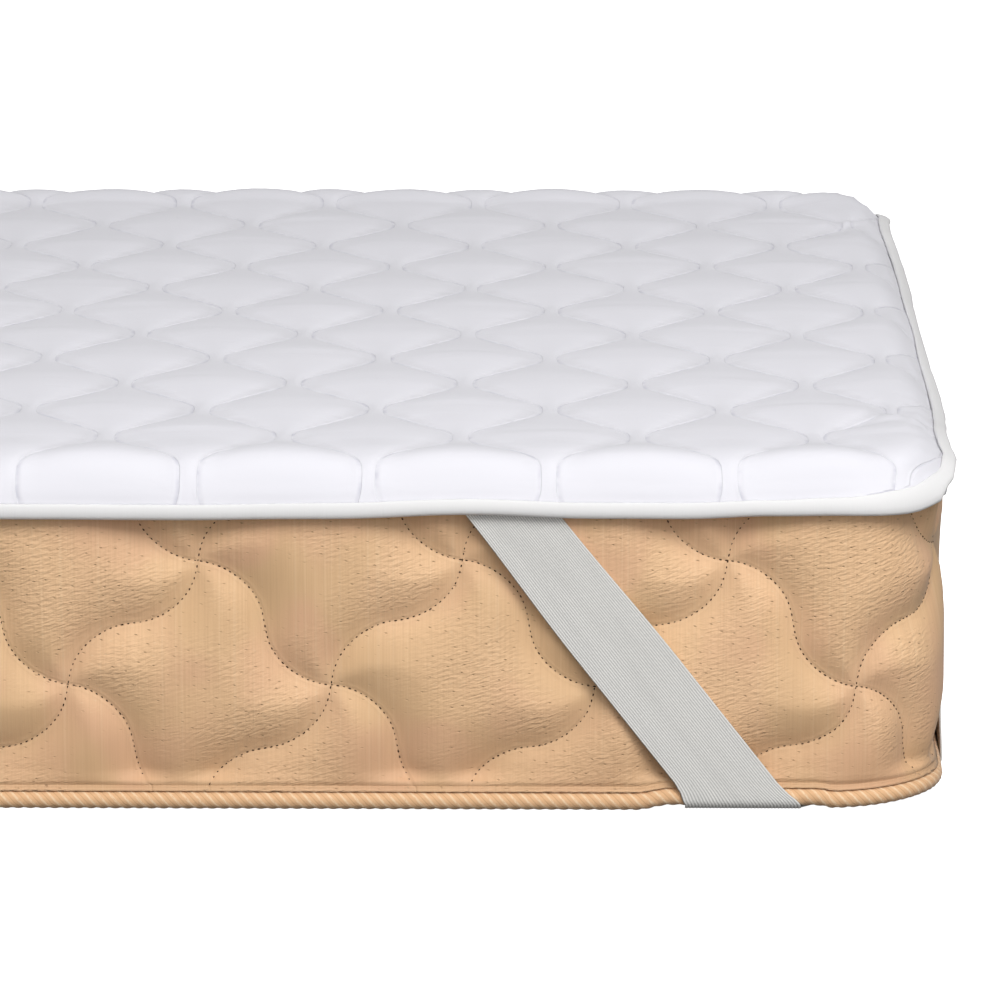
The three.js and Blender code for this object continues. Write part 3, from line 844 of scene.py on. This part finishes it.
        def flat(i: int, j: int) -> tuple[float, float, float]:
            """The flat place and column of a grid point, held in by the rounded outline."""
            y = rows[j]
            column = first + i / self.columns_between
            line = math.floor(column)
            x = mix(self.line_x(line, y), self.line_x(line + 1, y), column - line)
            past = max(0.0, abs(y) - form.centre_y)
            limit = form.centre_x + math.sqrt(max(0.0, radius * radius - past * past))
            return max(-limit, min(limit, x)), y, column

        def point(i: int, j: int) -> Vector:
            """The draped point with its crown."""
            x, y, column = flat(i, j)
            place = form.cloth_place(x, y)
            cloth = place.past - form.core_radius
            most, start, run = self.fuller
            full = (most + place.way_y) * ease((cloth - start) / run) * abs(place.way_y)
            most, start, run = self.fade
            fade = 1 - most * ease((cloth - start) / run)
            level, start, run = self.fall
            height = mix(self.valley + full, level, ease((cloth - start) / run))
            height += self.relief(column, y) * fade
            height += fade * sum(
                most * ripple(x / along, y / across, spot)
                for most, along, across, spot in self.uneven
            )
            height += self.crease(x, y)
            level, start, run = self.rim
            if cloth > start:
                height = mix(height, level, ease((cloth - start) / run))
            if place.past > 0:
                return form.draped(place, cloth, height)
            return Vector((x * MM, y * MM, (form.height + form.lying_gap + height) * MM))

        def uv(i: int, j: int) -> tuple[float, float]:
            """The flat cloth in metres."""
            x, y, _ = flat(i, j)
            return x * MM, y * MM

        def seam_uv(i: int, j: int) -> tuple[float, float]:
            """Even numbers on the stitch lines, and the way along them in metres."""
            return 2 * (first + i / self.columns_between), rows[j] * MM

        bm = grid_mesh(steps, len(rows) - 1, point, uv, seam_uv=seam_uv)
        bmesh.ops.remove_doubles(bm, verts=bm.verts, dist=self.merge * MM)
        loop = [e for e in bm.edges if e.is_boundary]
        home = {v: form.cloth_place(*self.flat_of(v.co)) for e in loop for v in e.verts}
        for cloth, height in self.rings:
            around = {v for e in loop for v in e.verts}
            made = bmesh.ops.extrude_edge_only(bm, edges=loop)["geom"]
            fresh = [g for g in made if isinstance(g, bmesh.types.BMVert)]
            loop = [g for g in made if isinstance(g, bmesh.types.BMEdge) and g.is_boundary]
            for v in fresh:
                old = next(e.other_vert(v) for e in v.link_edges if e.other_vert(v) in around)
                home[v] = home[old]
                v.co = form.draped(home[v], cloth, height)
        bmesh.ops.contextual_create(bm, geom=loop)
        piece = finish_piece(bm, "topper_quilted_panel", material)
        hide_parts("quilted_panel")
        return piece

    def flat_of(self, co: Vector) -> tuple[float, float]:
        """A rim point's way out on the outline, as a point on the flat rim."""
        x, y = co.x / MM, co.y / MM
        place = self.form.cloth_place(x, y)
        radius = self.form.core_radius + self.seam
        return place.centre_x + place.way_x * radius, place.centre_y + place.way_y * radius

    def crease(self, x: float, y: float) -> float:
        """The pulled creases near each corner, as a height."""
        total = 0.0
        tail = self.crease_tail
        px, py = abs(x), -abs(y)
        for ax, ay, bx, by, depth, width in self.corner_creases:
            along_x, along_y = bx - ax, by - ay
            length = math.hypot(along_x, along_y)
            share = ((px - ax) * along_x + (py - ay) * along_y) / length ** 2
            if -tail < share < 1 + tail:
                off = ((px - ax) * along_y - (py - ay) * along_x) / length
                ends = ease((share + tail) / (2 * tail)) * ease((1 + tail - share) / (2 * tail))
                side = 1 if off > 0 else self.crease_far_side
                total -= depth * ends * math.exp(-abs(off) / width) * side
        return total


@dataclass
class EdgeBinding:
    """The tape folded round the panel's rim, with a rounded nose."""

    form: BedForm
    step: float = 8
    point_pitch: float = 1.6
    # the points of the section that swell a little unevenly, and the height that swells in full
    soft_from: int = 2
    soft_to: int = 11
    soft_height: float = 6.7
    section: tuple[tuple[float, float], ...] = (
        (55.0, 5.1), (54.9, 5.9), (55.4, 6.5), (56.7, 6.8), (58.8, 6.8), (60.8, 6.5), (62.4, 5.8),
        (63.5, 4.7), (63.9, 3.1), (63.5, 1.5), (62.4, 0.4), (60.4, 0.0), (58.4, 0.0), (56.0, 0.0),
        (55.0, 0.3), (55.0, 1.0), (57.8, 1.0), (62.5, 1.0), (62.5, 3.0), (62.5, 5.0), (58.0, 5.1),
    )

    def build(self, material: bpy.types.Material) -> bpy.types.Object:
        """Carries the section round the whole hem."""
        form = self.form
        count = round(form.perimeter / self.step)

        def point(i: int, j: int) -> Vector:
            """A section point, with the slight unevenness of a sewn tape."""
            distance = form.perimeter * i / count
            place = form.round_place(distance)
            cloth, height = self.section[j]
            if self.soft_from <= j < self.soft_to:
                swell = 0.5 * ripple(distance / 36, 0.4) + 0.3 * ripple(distance / 14, 8.2)
                height += swell * (height / self.soft_height)
                cloth += 0.25 * ripple(distance / 50, 5.5)
            return form.draped(place, cloth, height)

        def uv(i: int, j: int) -> tuple[float, float]:
            """Along and across the tape in metres."""
            return form.perimeter * i / count * MM, j * self.point_pitch * MM

        bm = grid_mesh(count, len(self.section), point, uv, close_columns=True, close_rows=True)
        piece = finish_piece(bm, "topper_edge_binding", material)
        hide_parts("edge_binding")
        return piece


class Corner(Enum):
    """The four corners, with the signs of x and y and their CAD strap's name."""

    FRONT_RIGHT = (1, -1, "strap_front_right")
    BACK_RIGHT = (1, 1, "strap_back_right")
    BACK_LEFT = (-1, 1, "strap_back_left")
    FRONT_LEFT = (-1, -1, "strap_front_left")


@dataclass
class CornerStrap:
    """One ribbed elastic, sewn on behind the hem, that runs under the mattress's corner."""

    form: BedForm
    corner: Corner
    width: float = 52
    top_width: float = 47
    thickness: float = 1.5
    gap: float = 0.3
    at_hem: float = 275
    at_base: float = 131
    hem_height: float = 192
    full_width_drop: float = 90
    level_inset: float = 40
    bend: float = 6
    lift: float = 1.4
    ribs: int = 34
    rib_height: float = 0.28
    groove_depth: float = 0.3
    rib_room: float = 0.35
    # cuts over the soft edge, the step between those below it, and steps round the bend and under
    edge_cuts: tuple[float, ...] = (46, 48, 50, 52, 54)
    first_step: float = 6
    cut_step: float = 7
    bend_room: float = 4
    bend_steps: int = 8
    under: int = 8

    def cuts(self) -> list[tuple[float, float, float]]:
        """Cuts across half the strap: inset from the side, height, and the way it faces."""
        form = self.form
        found = []
        for arc in self.edge_cuts:
            out, drop, slope = form.edge(arc)
            found.append((form.table[-1][0] - out, form.height - drop, slope - math.pi / 2))
        centre = self.bend + self.lift + self.thickness + self.gap
        z = found[-1][1] - self.first_step
        while z > centre + self.bend_room:
            found.append((0.0, z, 0.0))
            z -= self.cut_step
        for i in range(self.bend_steps + 1):
            turn = math.pi / 2 * i / self.bend_steps
            inset = self.bend * (1 - math.cos(turn))
            found.append((inset, centre - self.bend * math.sin(turn), turn))
        low = self.thickness + self.gap
        start = found[-1]
        for share in (0.25, 0.5, 0.75, 1.0):
            found.append((
                mix(start[0], self.level_inset, share), mix(start[1], low, share), math.pi / 2,
            ))
        return found

    def build(self, material: bpy.types.Material) -> bpy.types.Object:
        """Lays the strap's face, ribs it, and gives it its thickness."""
        side_x, side_y, node = self.corner.value
        half = self.cuts()
        columns = 2 * len(half) - 1 + self.under
        rows = 2 * self.ribs
        slope = (self.at_hem - self.at_base) / (self.hem_height - self.bend)
        slant = math.hypot(1, slope)
        low_bend = 2 * self.bend + self.gap

        def on_side(
            cut: tuple[float, float, float], across: float, stand: float, on_end: bool
        ) -> Vector:
            """A point of a cut, a share across the strap and a distance off its inner face."""
            inset, z, turn = cut
            height = max(0.0, z - self.bend)
            grown = ease((self.hem_height - z) / self.full_width_drop)
            width = mix(self.top_width, self.width, grown)
            span = mix(width * slant, self.width * math.sqrt(2), ease(1 - height / low_bend))
            middle = self.at_base + slope * height - max(0.0, inset - self.bend)
            from_corner = middle + span * (0.5 - across)
            out = stand * math.cos(turn) - inset
            x = self.form.length / 2 + (out if on_end else -from_corner)
            y = self.form.width / 2 + (-from_corner if on_end else out)
            return Vector((side_x * x * MM, side_y * y * MM, (z - stand * math.sin(turn)) * MM))

        def point(i: int, j: int) -> Vector:
            """The outer face, with its ribs."""
            across = j / rows
            rib = 0.0 if j % 2 == 0 else self.rib_height
            stand = self.gap + self.thickness - self.groove_depth + rib
            if i < len(half):
                return on_side(half[i], across, stand, False)
            if i >= len(half) + self.under:
                return on_side(half[columns - i], across, stand, True)
            share = (i - len(half) + 1) / (self.under + 1)
            return on_side(half[-1], across, stand, False).lerp(
                on_side(half[-1], across, stand, True), share
            )

        lengths = [0.0]
        for i in range(columns):
            lengths.append(lengths[-1] + (point(i + 1, rows // 2) - point(i, rows // 2)).length)

        def uv(i: int, j: int) -> tuple[float, float]:
            """Metres along the strap, and rib by rib across it."""
            return lengths[i], j

        bm = grid_mesh(columns, rows, point, uv)
        bmesh.ops.recalc_face_normals(bm, faces=bm.faces)
        probe = min(bm.faces, key=lambda f: abs(f.calc_center_median().z - 0.1))
        on_long_side = abs(probe.normal.y) > abs(probe.normal.x)
        if (probe.normal.y * side_y if on_long_side else probe.normal.x * side_x) < 0:
            bmesh.ops.reverse_faces(bm, faces=bm.faces)
        area = sum(f.calc_area() for f in bm.faces)
        geom = bm.faces[:] + bm.edges[:] + bm.verts[:]
        bmesh.ops.solidify(bm, geom=geom, thickness=(self.thickness - self.rib_room) * MM)
        piece = finish_piece(bm, f"topper_{node}", material)
        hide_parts(node)
        return piece


@dataclass
class BorderQuilting:
    """Two families of S-shaped stitch lines round the mattress's border."""

    form: BedForm
    step_up: float = 82
    origin: float = 524
    origin_z: float = 163
    half_steps: int = 68
    top: float = 196
    low: float = 15.5
    reach: float = 40
    steepness: float = 0.465
    rounding: float = 0.006
    levelness: float = 0.27
    incline: float = 0.07
    wander: float = 3.0
    # how many half periods a line runs each way, and the step it is followed by
    run: float = 3.2
    trace: float = 0.1

    @property
    def step_along(self) -> float:
        """Half the pattern's period along the outline."""
        return self.form.perimeter / self.half_steps

    def stair(self, share: float) -> float:
        """A rounded stair, level at whole numbers and nearly upright half way between them."""
        whole = math.floor(share)
        side = math.sin(math.pi * (share - whole - 0.5))
        steep = side / (side * side + self.rounding) ** self.levelness
        return whole + 0.5 + self.steepness * steep + self.incline * (share - whole - 0.5)

    def line_z(self, family: int, distance: float) -> float:
        """The height of a line of one family that runs through the origin."""
        share = (distance - self.origin) / self.step_along
        wander = self.wander * ripple(distance / 120, family * 9.1)
        if family == 0:
            return self.origin_z - self.step_up * self.stair(share) + wander
        return self.origin_z + self.step_up * (self.stair(share + 0.5) - 0.5) + wander

    def lines(self, family: int, step: float) -> list[list[tuple[float, float]]]:
        """Every line of a family inside the border, as points at even steps along it."""
        found = []
        for k in range(self.half_steps // 2):
            shift = 2 * k * self.step_along
            points: list[tuple[float, float]] = []
            distance = self.origin - self.run * self.step_along
            last = None
            carried = 0.0
            while distance < self.origin + self.run * self.step_along:
                z = self.line_z(family, distance + shift) - self.drift(family, k)
                here = (distance + shift, z)
                if last is not None:
                    carried += math.hypot(here[0] - last[0], here[1] - last[1])
                    if carried >= step:
                        carried -= step
                        if self.low <= z <= self.top:
                            points.append(here)
                last = here
                distance += self.trace
            if points:
                found.append(points)
        return found

    def drift(self, family: int, k: int) -> float:
        """What the running stair has climbed by the k-th line."""
        climbed = 2 * k * self.step_up
        return -climbed if family == 0 else climbed


@dataclass
class Mattress:
    """The mattress under the topper, with its quilted border and its bottom seam."""

    form: BedForm
    quilting: BorderQuilting
    depth: float = 8.8
    puff: float = 38
    puff_shape: float = 1.9
    swell: float = 1.2
    step: float = 4.0
    row_step: float = 3.6
    trace: float = 0.7
    edge_rows: tuple[float, ...] = (0, 8, 16, 24, 31, 37, 42, 46, 50, 54)
    soft_above: float = 190
    border_low: float = 19
    # how far the border tucks in above the piping, and the height where that ends
    tuck: float = 6.8
    tuck_height: float = 75
    # where the core stands in behind the piping, and what its foot is in from that
    core_inset: float = 12.3
    foot_inset: float = 0.5
    foot_height: float = 0.2
    strap_room: float = 1.8
    # inset and height of the rows from the border's low end in behind the piping
    low_rows: tuple[tuple[float, float], ...] = (
        (0.9, 17.0), (2.0, 15.6), (1.9, 15.0), (1.3, 14.2), (1.6, 12.9), (3.0, 12.3), (9.0, 12.3),
        (12.3, 9.0), (12.3, 0.0),
    )

    def profile(self) -> list[tuple[float, float]]:
        """Inset and height of each row, from the level top down and in under the bottom."""
        form = self.form
        rows = []
        for arc in self.edge_rows:
            out, drop, _ = form.edge(arc)
            rows.append((form.table[-1][0] - out, form.height - drop))
        z = rows[-1][1]
        count = round((z - self.border_low) / self.row_step)
        rows += [(0.0, mix(z, self.border_low, (i + 1) / count)) for i in range(count)]
        return rows + list(self.low_rows)

    def build(self, material: bpy.types.Material) -> bpy.types.Object:
        """Sinks the stitch lines into the border and closes the top and the underside."""
        form, quilting = self.form, self.quilting
        count = round(form.perimeter / self.step)
        rows = self.profile()
        trees = []
        for family in (0, 1):
            spots = [spot for line in quilting.lines(family, self.trace) for spot in line]
            tree = kdtree.KDTree(3 * len(spots))
            for turn in (-form.perimeter, 0.0, form.perimeter):
                for index, (distance, z) in enumerate(spots):
                    tree.insert(Vector((distance + turn, z, 0)), index)
            tree.balance()
            trees.append(tree)
        near: dict[tuple[int, int], tuple[float, float]] = {}
        for i in range(count + 1):
            distance = form.perimeter * i / count
            for j, (_, z) in enumerate(rows):
                found = []
                for family, tree in enumerate(trees):
                    off = tree.find(Vector((distance, z, 0)))[2]
                    number = (z - quilting.line_z(family, distance)) / (2 * quilting.step_up)
                    side = 1 if number > round(number) else -1
                    found.append(2 * round(number) + side * min(1.0, off / quilting.reach))
                near[i, j] = (found[0], found[1])

        def away(i: int, j: int) -> float:
            """Distance from the nearest stitch line."""
            return quilting.reach * min(abs(line - 2 * round(line / 2)) for line in near[i, j])

        def point(i: int, j: int) -> Vector:
            """A point of the shell, sunk near the stitch lines."""
            inset, z = rows[j]
            distance = form.perimeter * i / count
            place = form.round_place(distance)
            if inset == 0 or z > self.soft_above:
                reach = ease((quilting.top + 8 - z) / 14) * ease((z - 15) / 9)
                valley = max(0.0, 1 - away(i, j) / self.puff) ** self.puff_shape
                swell = 0.5 * ripple(distance / 70, z / 50, 2.2) + 0.5
                inset += reach * (self.depth * valley + self.swell * swell)
            if z > self.core_inset:
                share = max(0.0, 1 - max(z, self.border_low) / self.tuck_height)
                inset += self.tuck * share ** 2
            return place.point(form.corner_radius - inset, form.raised(place.along, z))

        def uv(i: int, j: int) -> tuple[float, float]:
            """Metres round the border and up it."""
            inset, z = rows[j]
            return form.perimeter * i / count * MM, (z - inset) * MM

        bm = grid_mesh(
            count, len(rows) - 1, point, uv, close_columns=True, seam_uv=lambda i, j: near[i, j]
        )
        ends = [e for e in bm.edges if e.is_boundary]
        for high in (True, False):
            loop = [e for e in ends if (e.verts[0].co.z > 0.1) == high]
            if not high:
                loop = self.underside(bm, loop)
            bmesh.ops.contextual_create(bm, geom=loop)
        piece = finish_piece(bm, "mattress_body", material)
        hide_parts("mattress")
        return piece

    def underside(
        self, bm: bmesh.types.BMesh, loop: list[bmesh.types.BMEdge]
    ) -> list[bmesh.types.BMEdge]:
        """Leaves each corner a little higher than the rest, for the strap under it.

        Args:
            bm: The mattress's mesh.
            loop: The edges round its open underside.

        Returns:
            The edges round what is still open.
        """
        form = self.form
        reach = form.strap_along + form.squeeze_half + form.squeeze_fade
        side = reach - form.arc_half + form.corner_radius
        inset = self.core_inset + self.foot_inset
        start = Vector((form.length / 2 - side, form.width / 2 - inset))
        stop = Vector((form.length / 2 - inset, form.width / 2 - side))
        for height in (self.strap_room, 0.0):
            made = bmesh.ops.extrude_edge_only(bm, edges=loop)["geom"]
            loop = [g for g in made if isinstance(g, bmesh.types.BMEdge) and g.is_boundary]
            for v in [g for g in made if isinstance(g, bmesh.types.BMVert)]:
                x, y = v.co.x / MM, v.co.y / MM
                place = form.cloth_place(x, y)
                if abs(place.along) >= reach:
                    z = self.foot_height if height else 0.0
                    v.co = place.point(form.corner_radius - inset, z)
                elif height:
                    spot = start.lerp(stop, (place.along + reach) / (2 * reach))
                    v.co = Vector((
                        math.copysign(spot.x, x) * MM, math.copysign(spot.y, y) * MM, height * MM,
                    ))
                else:
                    v.co.z = 0.0
        return loop


@dataclass
class BorderStitches:
    """The shaded pits of the border's stitches, one small dark bead each, as painted shade."""

    form: BedForm
    quilting: BorderQuilting
    pitch: float = 3.9
    length: float = 2.1
    thickness: float = 1.0
    proud: float = 0.3
    highest: float = 192
    sizes: tuple[float, float] = (0.7, 1.15)
    seed: int = 11
    # how far outside the corner radius the cloth is looked for from, and how far
    look_from: float = 20
    look_far: float = 50

    def bead(
        self, bm: bmesh.types.BMesh, centre: Vector, run: Vector, out: Vector, size: float
    ) -> None:
        """Adds one dark bead, flat against the cloth.

        Args:
            bm: The mesh of its stitch line.
            centre: Its middle.
            run: The way that the line runs there.
            out: The way out from the cloth.
            size: Its share of the usual size.
        """
        cross = out.cross(run)
        for v in bmesh.ops.create_icosphere(bm, subdivisions=1, radius=1.0)["verts"]:
            a, b, c = v.co
            along = run * a * self.length / 2 * size
            beside = cross * b * self.thickness / 2 * size
            v.co = centre + MM * (along + beside + out * c * self.proud)

    def build(self, material: bpy.types.Material, border: bpy.types.Object) -> bpy.types.Object:
        """Sets a bead at every stitch, half sunk into the border's cloth."""
        form = self.form
        surface = BVHTree.FromObject(border, bpy.context.evaluated_depsgraph_get())
        whole = bmesh.new()
        hand = random.Random(self.seed)
        for family in (0, 1):
            for line in self.quilting.lines(family, self.pitch):
                bm = bmesh.new()
                for (distance, z), (ahead, ahead_z) in zip(line, line[1:]):
                    if z > self.highest:
                        continue
                    place = form.round_place(distance)
                    out = Vector((place.way_x, place.way_y, 0))
                    height = form.raised(place.along, z)
                    eye = place.point(form.corner_radius + self.look_from, height)
                    spot = surface.ray_cast(eye, -out, self.look_far * MM)[0]
                    if spot is None:
                        continue
                    turn = math.atan2(ahead_z - z, ahead - distance)
                    side = Vector((-place.way_y, place.way_x, 0))
                    run = side * math.cos(turn) + Vector((0, 0, 1)) * math.sin(turn)
                    # painted shade: each dark bead stands where a stitch pulls a shaded pit into
                    # the cloth
                    self.bead(bm, spot, run, out, hand.uniform(*self.sizes))
                stitched = bpy.data.meshes.new("stitch_line")
                bm.to_mesh(stitched)
                bm.free()
                whole.from_mesh(stitched)
                bpy.data.meshes.remove(stitched)
        return finish_piece(whole, "border_stitches", material, closed=False)


@dataclass
class BottomPiping:
    """The twisted cord sewn along the mattress's bottom edge."""

    form: BedForm
    radius: float = 6
    strands: int = 4
    strand_pitch: float = 7.7
    hollow: float = 0.16
    lobe_shape: float = 0.7
    step: float = 1.6
    sides: int = 14
    pattern_length: float = 6

    def build(self, material: bpy.types.Material) -> bpy.types.Object:
        """Twists the strands round the whole outline, in a whole number of turns."""
        form = self.form
        turns = round(form.perimeter / (self.strand_pitch * self.strands))
        count = round(form.perimeter / self.step)

        def twist(i: int) -> float:
            """The strands' angle at a step."""
            return 2 * math.pi * turns * i / count

        def point(i: int, j: int) -> Vector:
            """A point of the cord's uneven skin."""
            place = form.round_place(form.perimeter * i / count)
            angle = 2 * math.pi * j / self.sides
            lobe = abs(math.cos(self.strands / 2 * (angle + twist(i))))
            radius = self.radius * (1 - self.hollow + self.hollow * lobe ** self.lobe_shape)
            reach = form.corner_radius - self.radius + radius * math.cos(angle)
            z = self.radius + radius * math.sin(angle) + form.rise(place.along)
            return place.point(reach, z)

        def uv(i: int, j: int) -> tuple[float, float]:
            """Strand numbers across the cord's lay, and turns along it."""
            angle = 2 * math.pi * j / self.sides
            strand = self.strands / (2 * math.pi) * (angle + twist(i)) + 0.5
            return strand, i * self.step / self.pattern_length

        bm = grid_mesh(count, self.sides, point, uv, close_columns=True, close_rows=True)
        piece = finish_piece(bm, "mattress_bottom_piping", material)
        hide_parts("bottom_piping")
        return piece


@dataclass(frozen=True)
class Studio:
    """The camera, two soft lamps, a sky that is darker below, and a floor that shines white."""

    camera_at: tuple[float, float, float] = (0.753, -3.979, 1.083)
    pitch: float = 76.02
    yaw: float = 0.622
    lens: float = 208.8
    sensor: float = 36
    sky_below: float = 0.12
    sky_above: float = 0.39
    horizon: float = 0.5
    floor_colour: str = "#f0f0f0"
    floor_size: float = 20
    floor_gap: float = 0.5
    # name, place, size, power and target of each lamp: the key from the right and above lights the
    # top and the border, and the fill from in front lifts the border and the binding
    lamps: tuple[tuple[str, tuple, float, float, tuple], ...] = (
        ("key", (1.62, -3.48, 3.64), 2.2, 174, (0.3, -0.2, 0.1)),
        ("front_fill", (1.3, -4.8, 1.1), 3.0, 34, (0.5, -0.45, 0.15)),
    )

    def camera(self) -> None:
        """Places the camera."""
        data = bpy.data.cameras.new("camera")
        data.lens = self.lens
        data.sensor_width = self.sensor
        data.clip_end = 50
        made = bpy.data.objects.new("camera", data)
        made.location = self.camera_at
        made.rotation_euler = (math.radians(self.pitch), 0, math.radians(self.yaw))
        bpy.context.scene.collection.objects.link(made)
        bpy.context.scene.camera = made

    def light(self) -> None:
        """Hangs the square soft lamps, and makes the sky."""
        for name, place, size, power, target in self.lamps:
            data = bpy.data.lights.new(name, "AREA")
            data.size = size
            data.energy = power
            made = bpy.data.objects.new(name, data)
            made.location = place
            way = Vector(target) - made.location
            made.rotation_euler = way.to_track_quat("-Z", "Y").to_euler()
            made.visible_camera = False
            bpy.context.scene.collection.objects.link(made)
        bpy.context.scene.view_settings.view_transform = "Standard"
        world = bpy.data.worlds.new("studio")
        world.use_nodes = True
        tree = world.node_tree
        around = add_node(tree, "ShaderNodeTexCoord").outputs["Generated"]
        upward = add_node(tree, SPLIT, None, {0: around}).outputs[2]
        sky = add_node(tree, RANGE, EASED, {
            0: upward, 1: -self.horizon, 2: self.horizon, 3: self.sky_below, 4: self.sky_above,
        })
        plug(tree, tree.nodes["Background"], {0: (1, 1, 1, 1), 1: sky})
        bpy.context.scene.world = world

    def floor(self) -> None:
        """Lays a floor that gives its own light, and throws none on the bed."""
        bm = bmesh.new()
        bmesh.ops.create_grid(bm, x_segments=1, y_segments=1, size=self.floor_size)
        mesh = bpy.data.meshes.new("floor")
        bm.to_mesh(mesh)
        bm.free()
        # painted board: matt, and as white as a lit studio sweep
        painted = Finish("painted_studio_floor", self.floor_colour, 0.9).make()
        tree = painted.node_tree
        glow = {"Emission Color": (1, 1, 1, 1), "Emission Strength": 1.0}
        plug(tree, tree.nodes["Principled BSDF"], glow)
        mesh.materials.append(painted)
        floor = bpy.data.objects.new("floor", mesh)
        floor.location.z = -self.floor_gap * MM
        floor.visible_diffuse = False
        floor.visible_glossy = False
        bpy.context.scene.collection.objects.link(floor)


def main() -> None:
    """Builds the camera and light, then every piece of the topper and its mattress."""
    logging.basicConfig(level=logging.INFO, format="%(name)s %(message)s")
    studio = Studio()
    studio.camera()
    studio.light()
    studio.floor()
    form = BedForm()
    quilting = BorderQuilting(form)
    QuiltedPanel(form).build(
        QuiltedMicrofibre("brushed_polyester_microfibre", "#e6e5eb", 0.9).make()
    )
    EdgeBinding(form).build(BindingTape("woven_polyester_binding", "#e8e7e7", 0.7).make())
    elastic = RibbedElastic("woven_ribbed_elastic", "#f6f4f0", 0.7).make()
    for corner in Corner:
        CornerStrap(form, corner).build(elastic)
    border = Mattress(form, quilting).build(
        WovenTicking("woven_polyester_ticking", "#e1b78f", 0.6).make()
    )
    # painted shade: dark matt beads stand in for the shaded pits of the stitches, so they read as
    # fine dashes
    pit_shade = Finish("stitch_pit_shade", "#4a3423", 0.8).make()
    BorderStitches(form, quilting).build(pit_shade, border)
    BottomPiping(form).build(TwistedCord("twisted_polyester_cord", "#e2b589", 0.75).make())


if __name__ == "__main__":
    main()
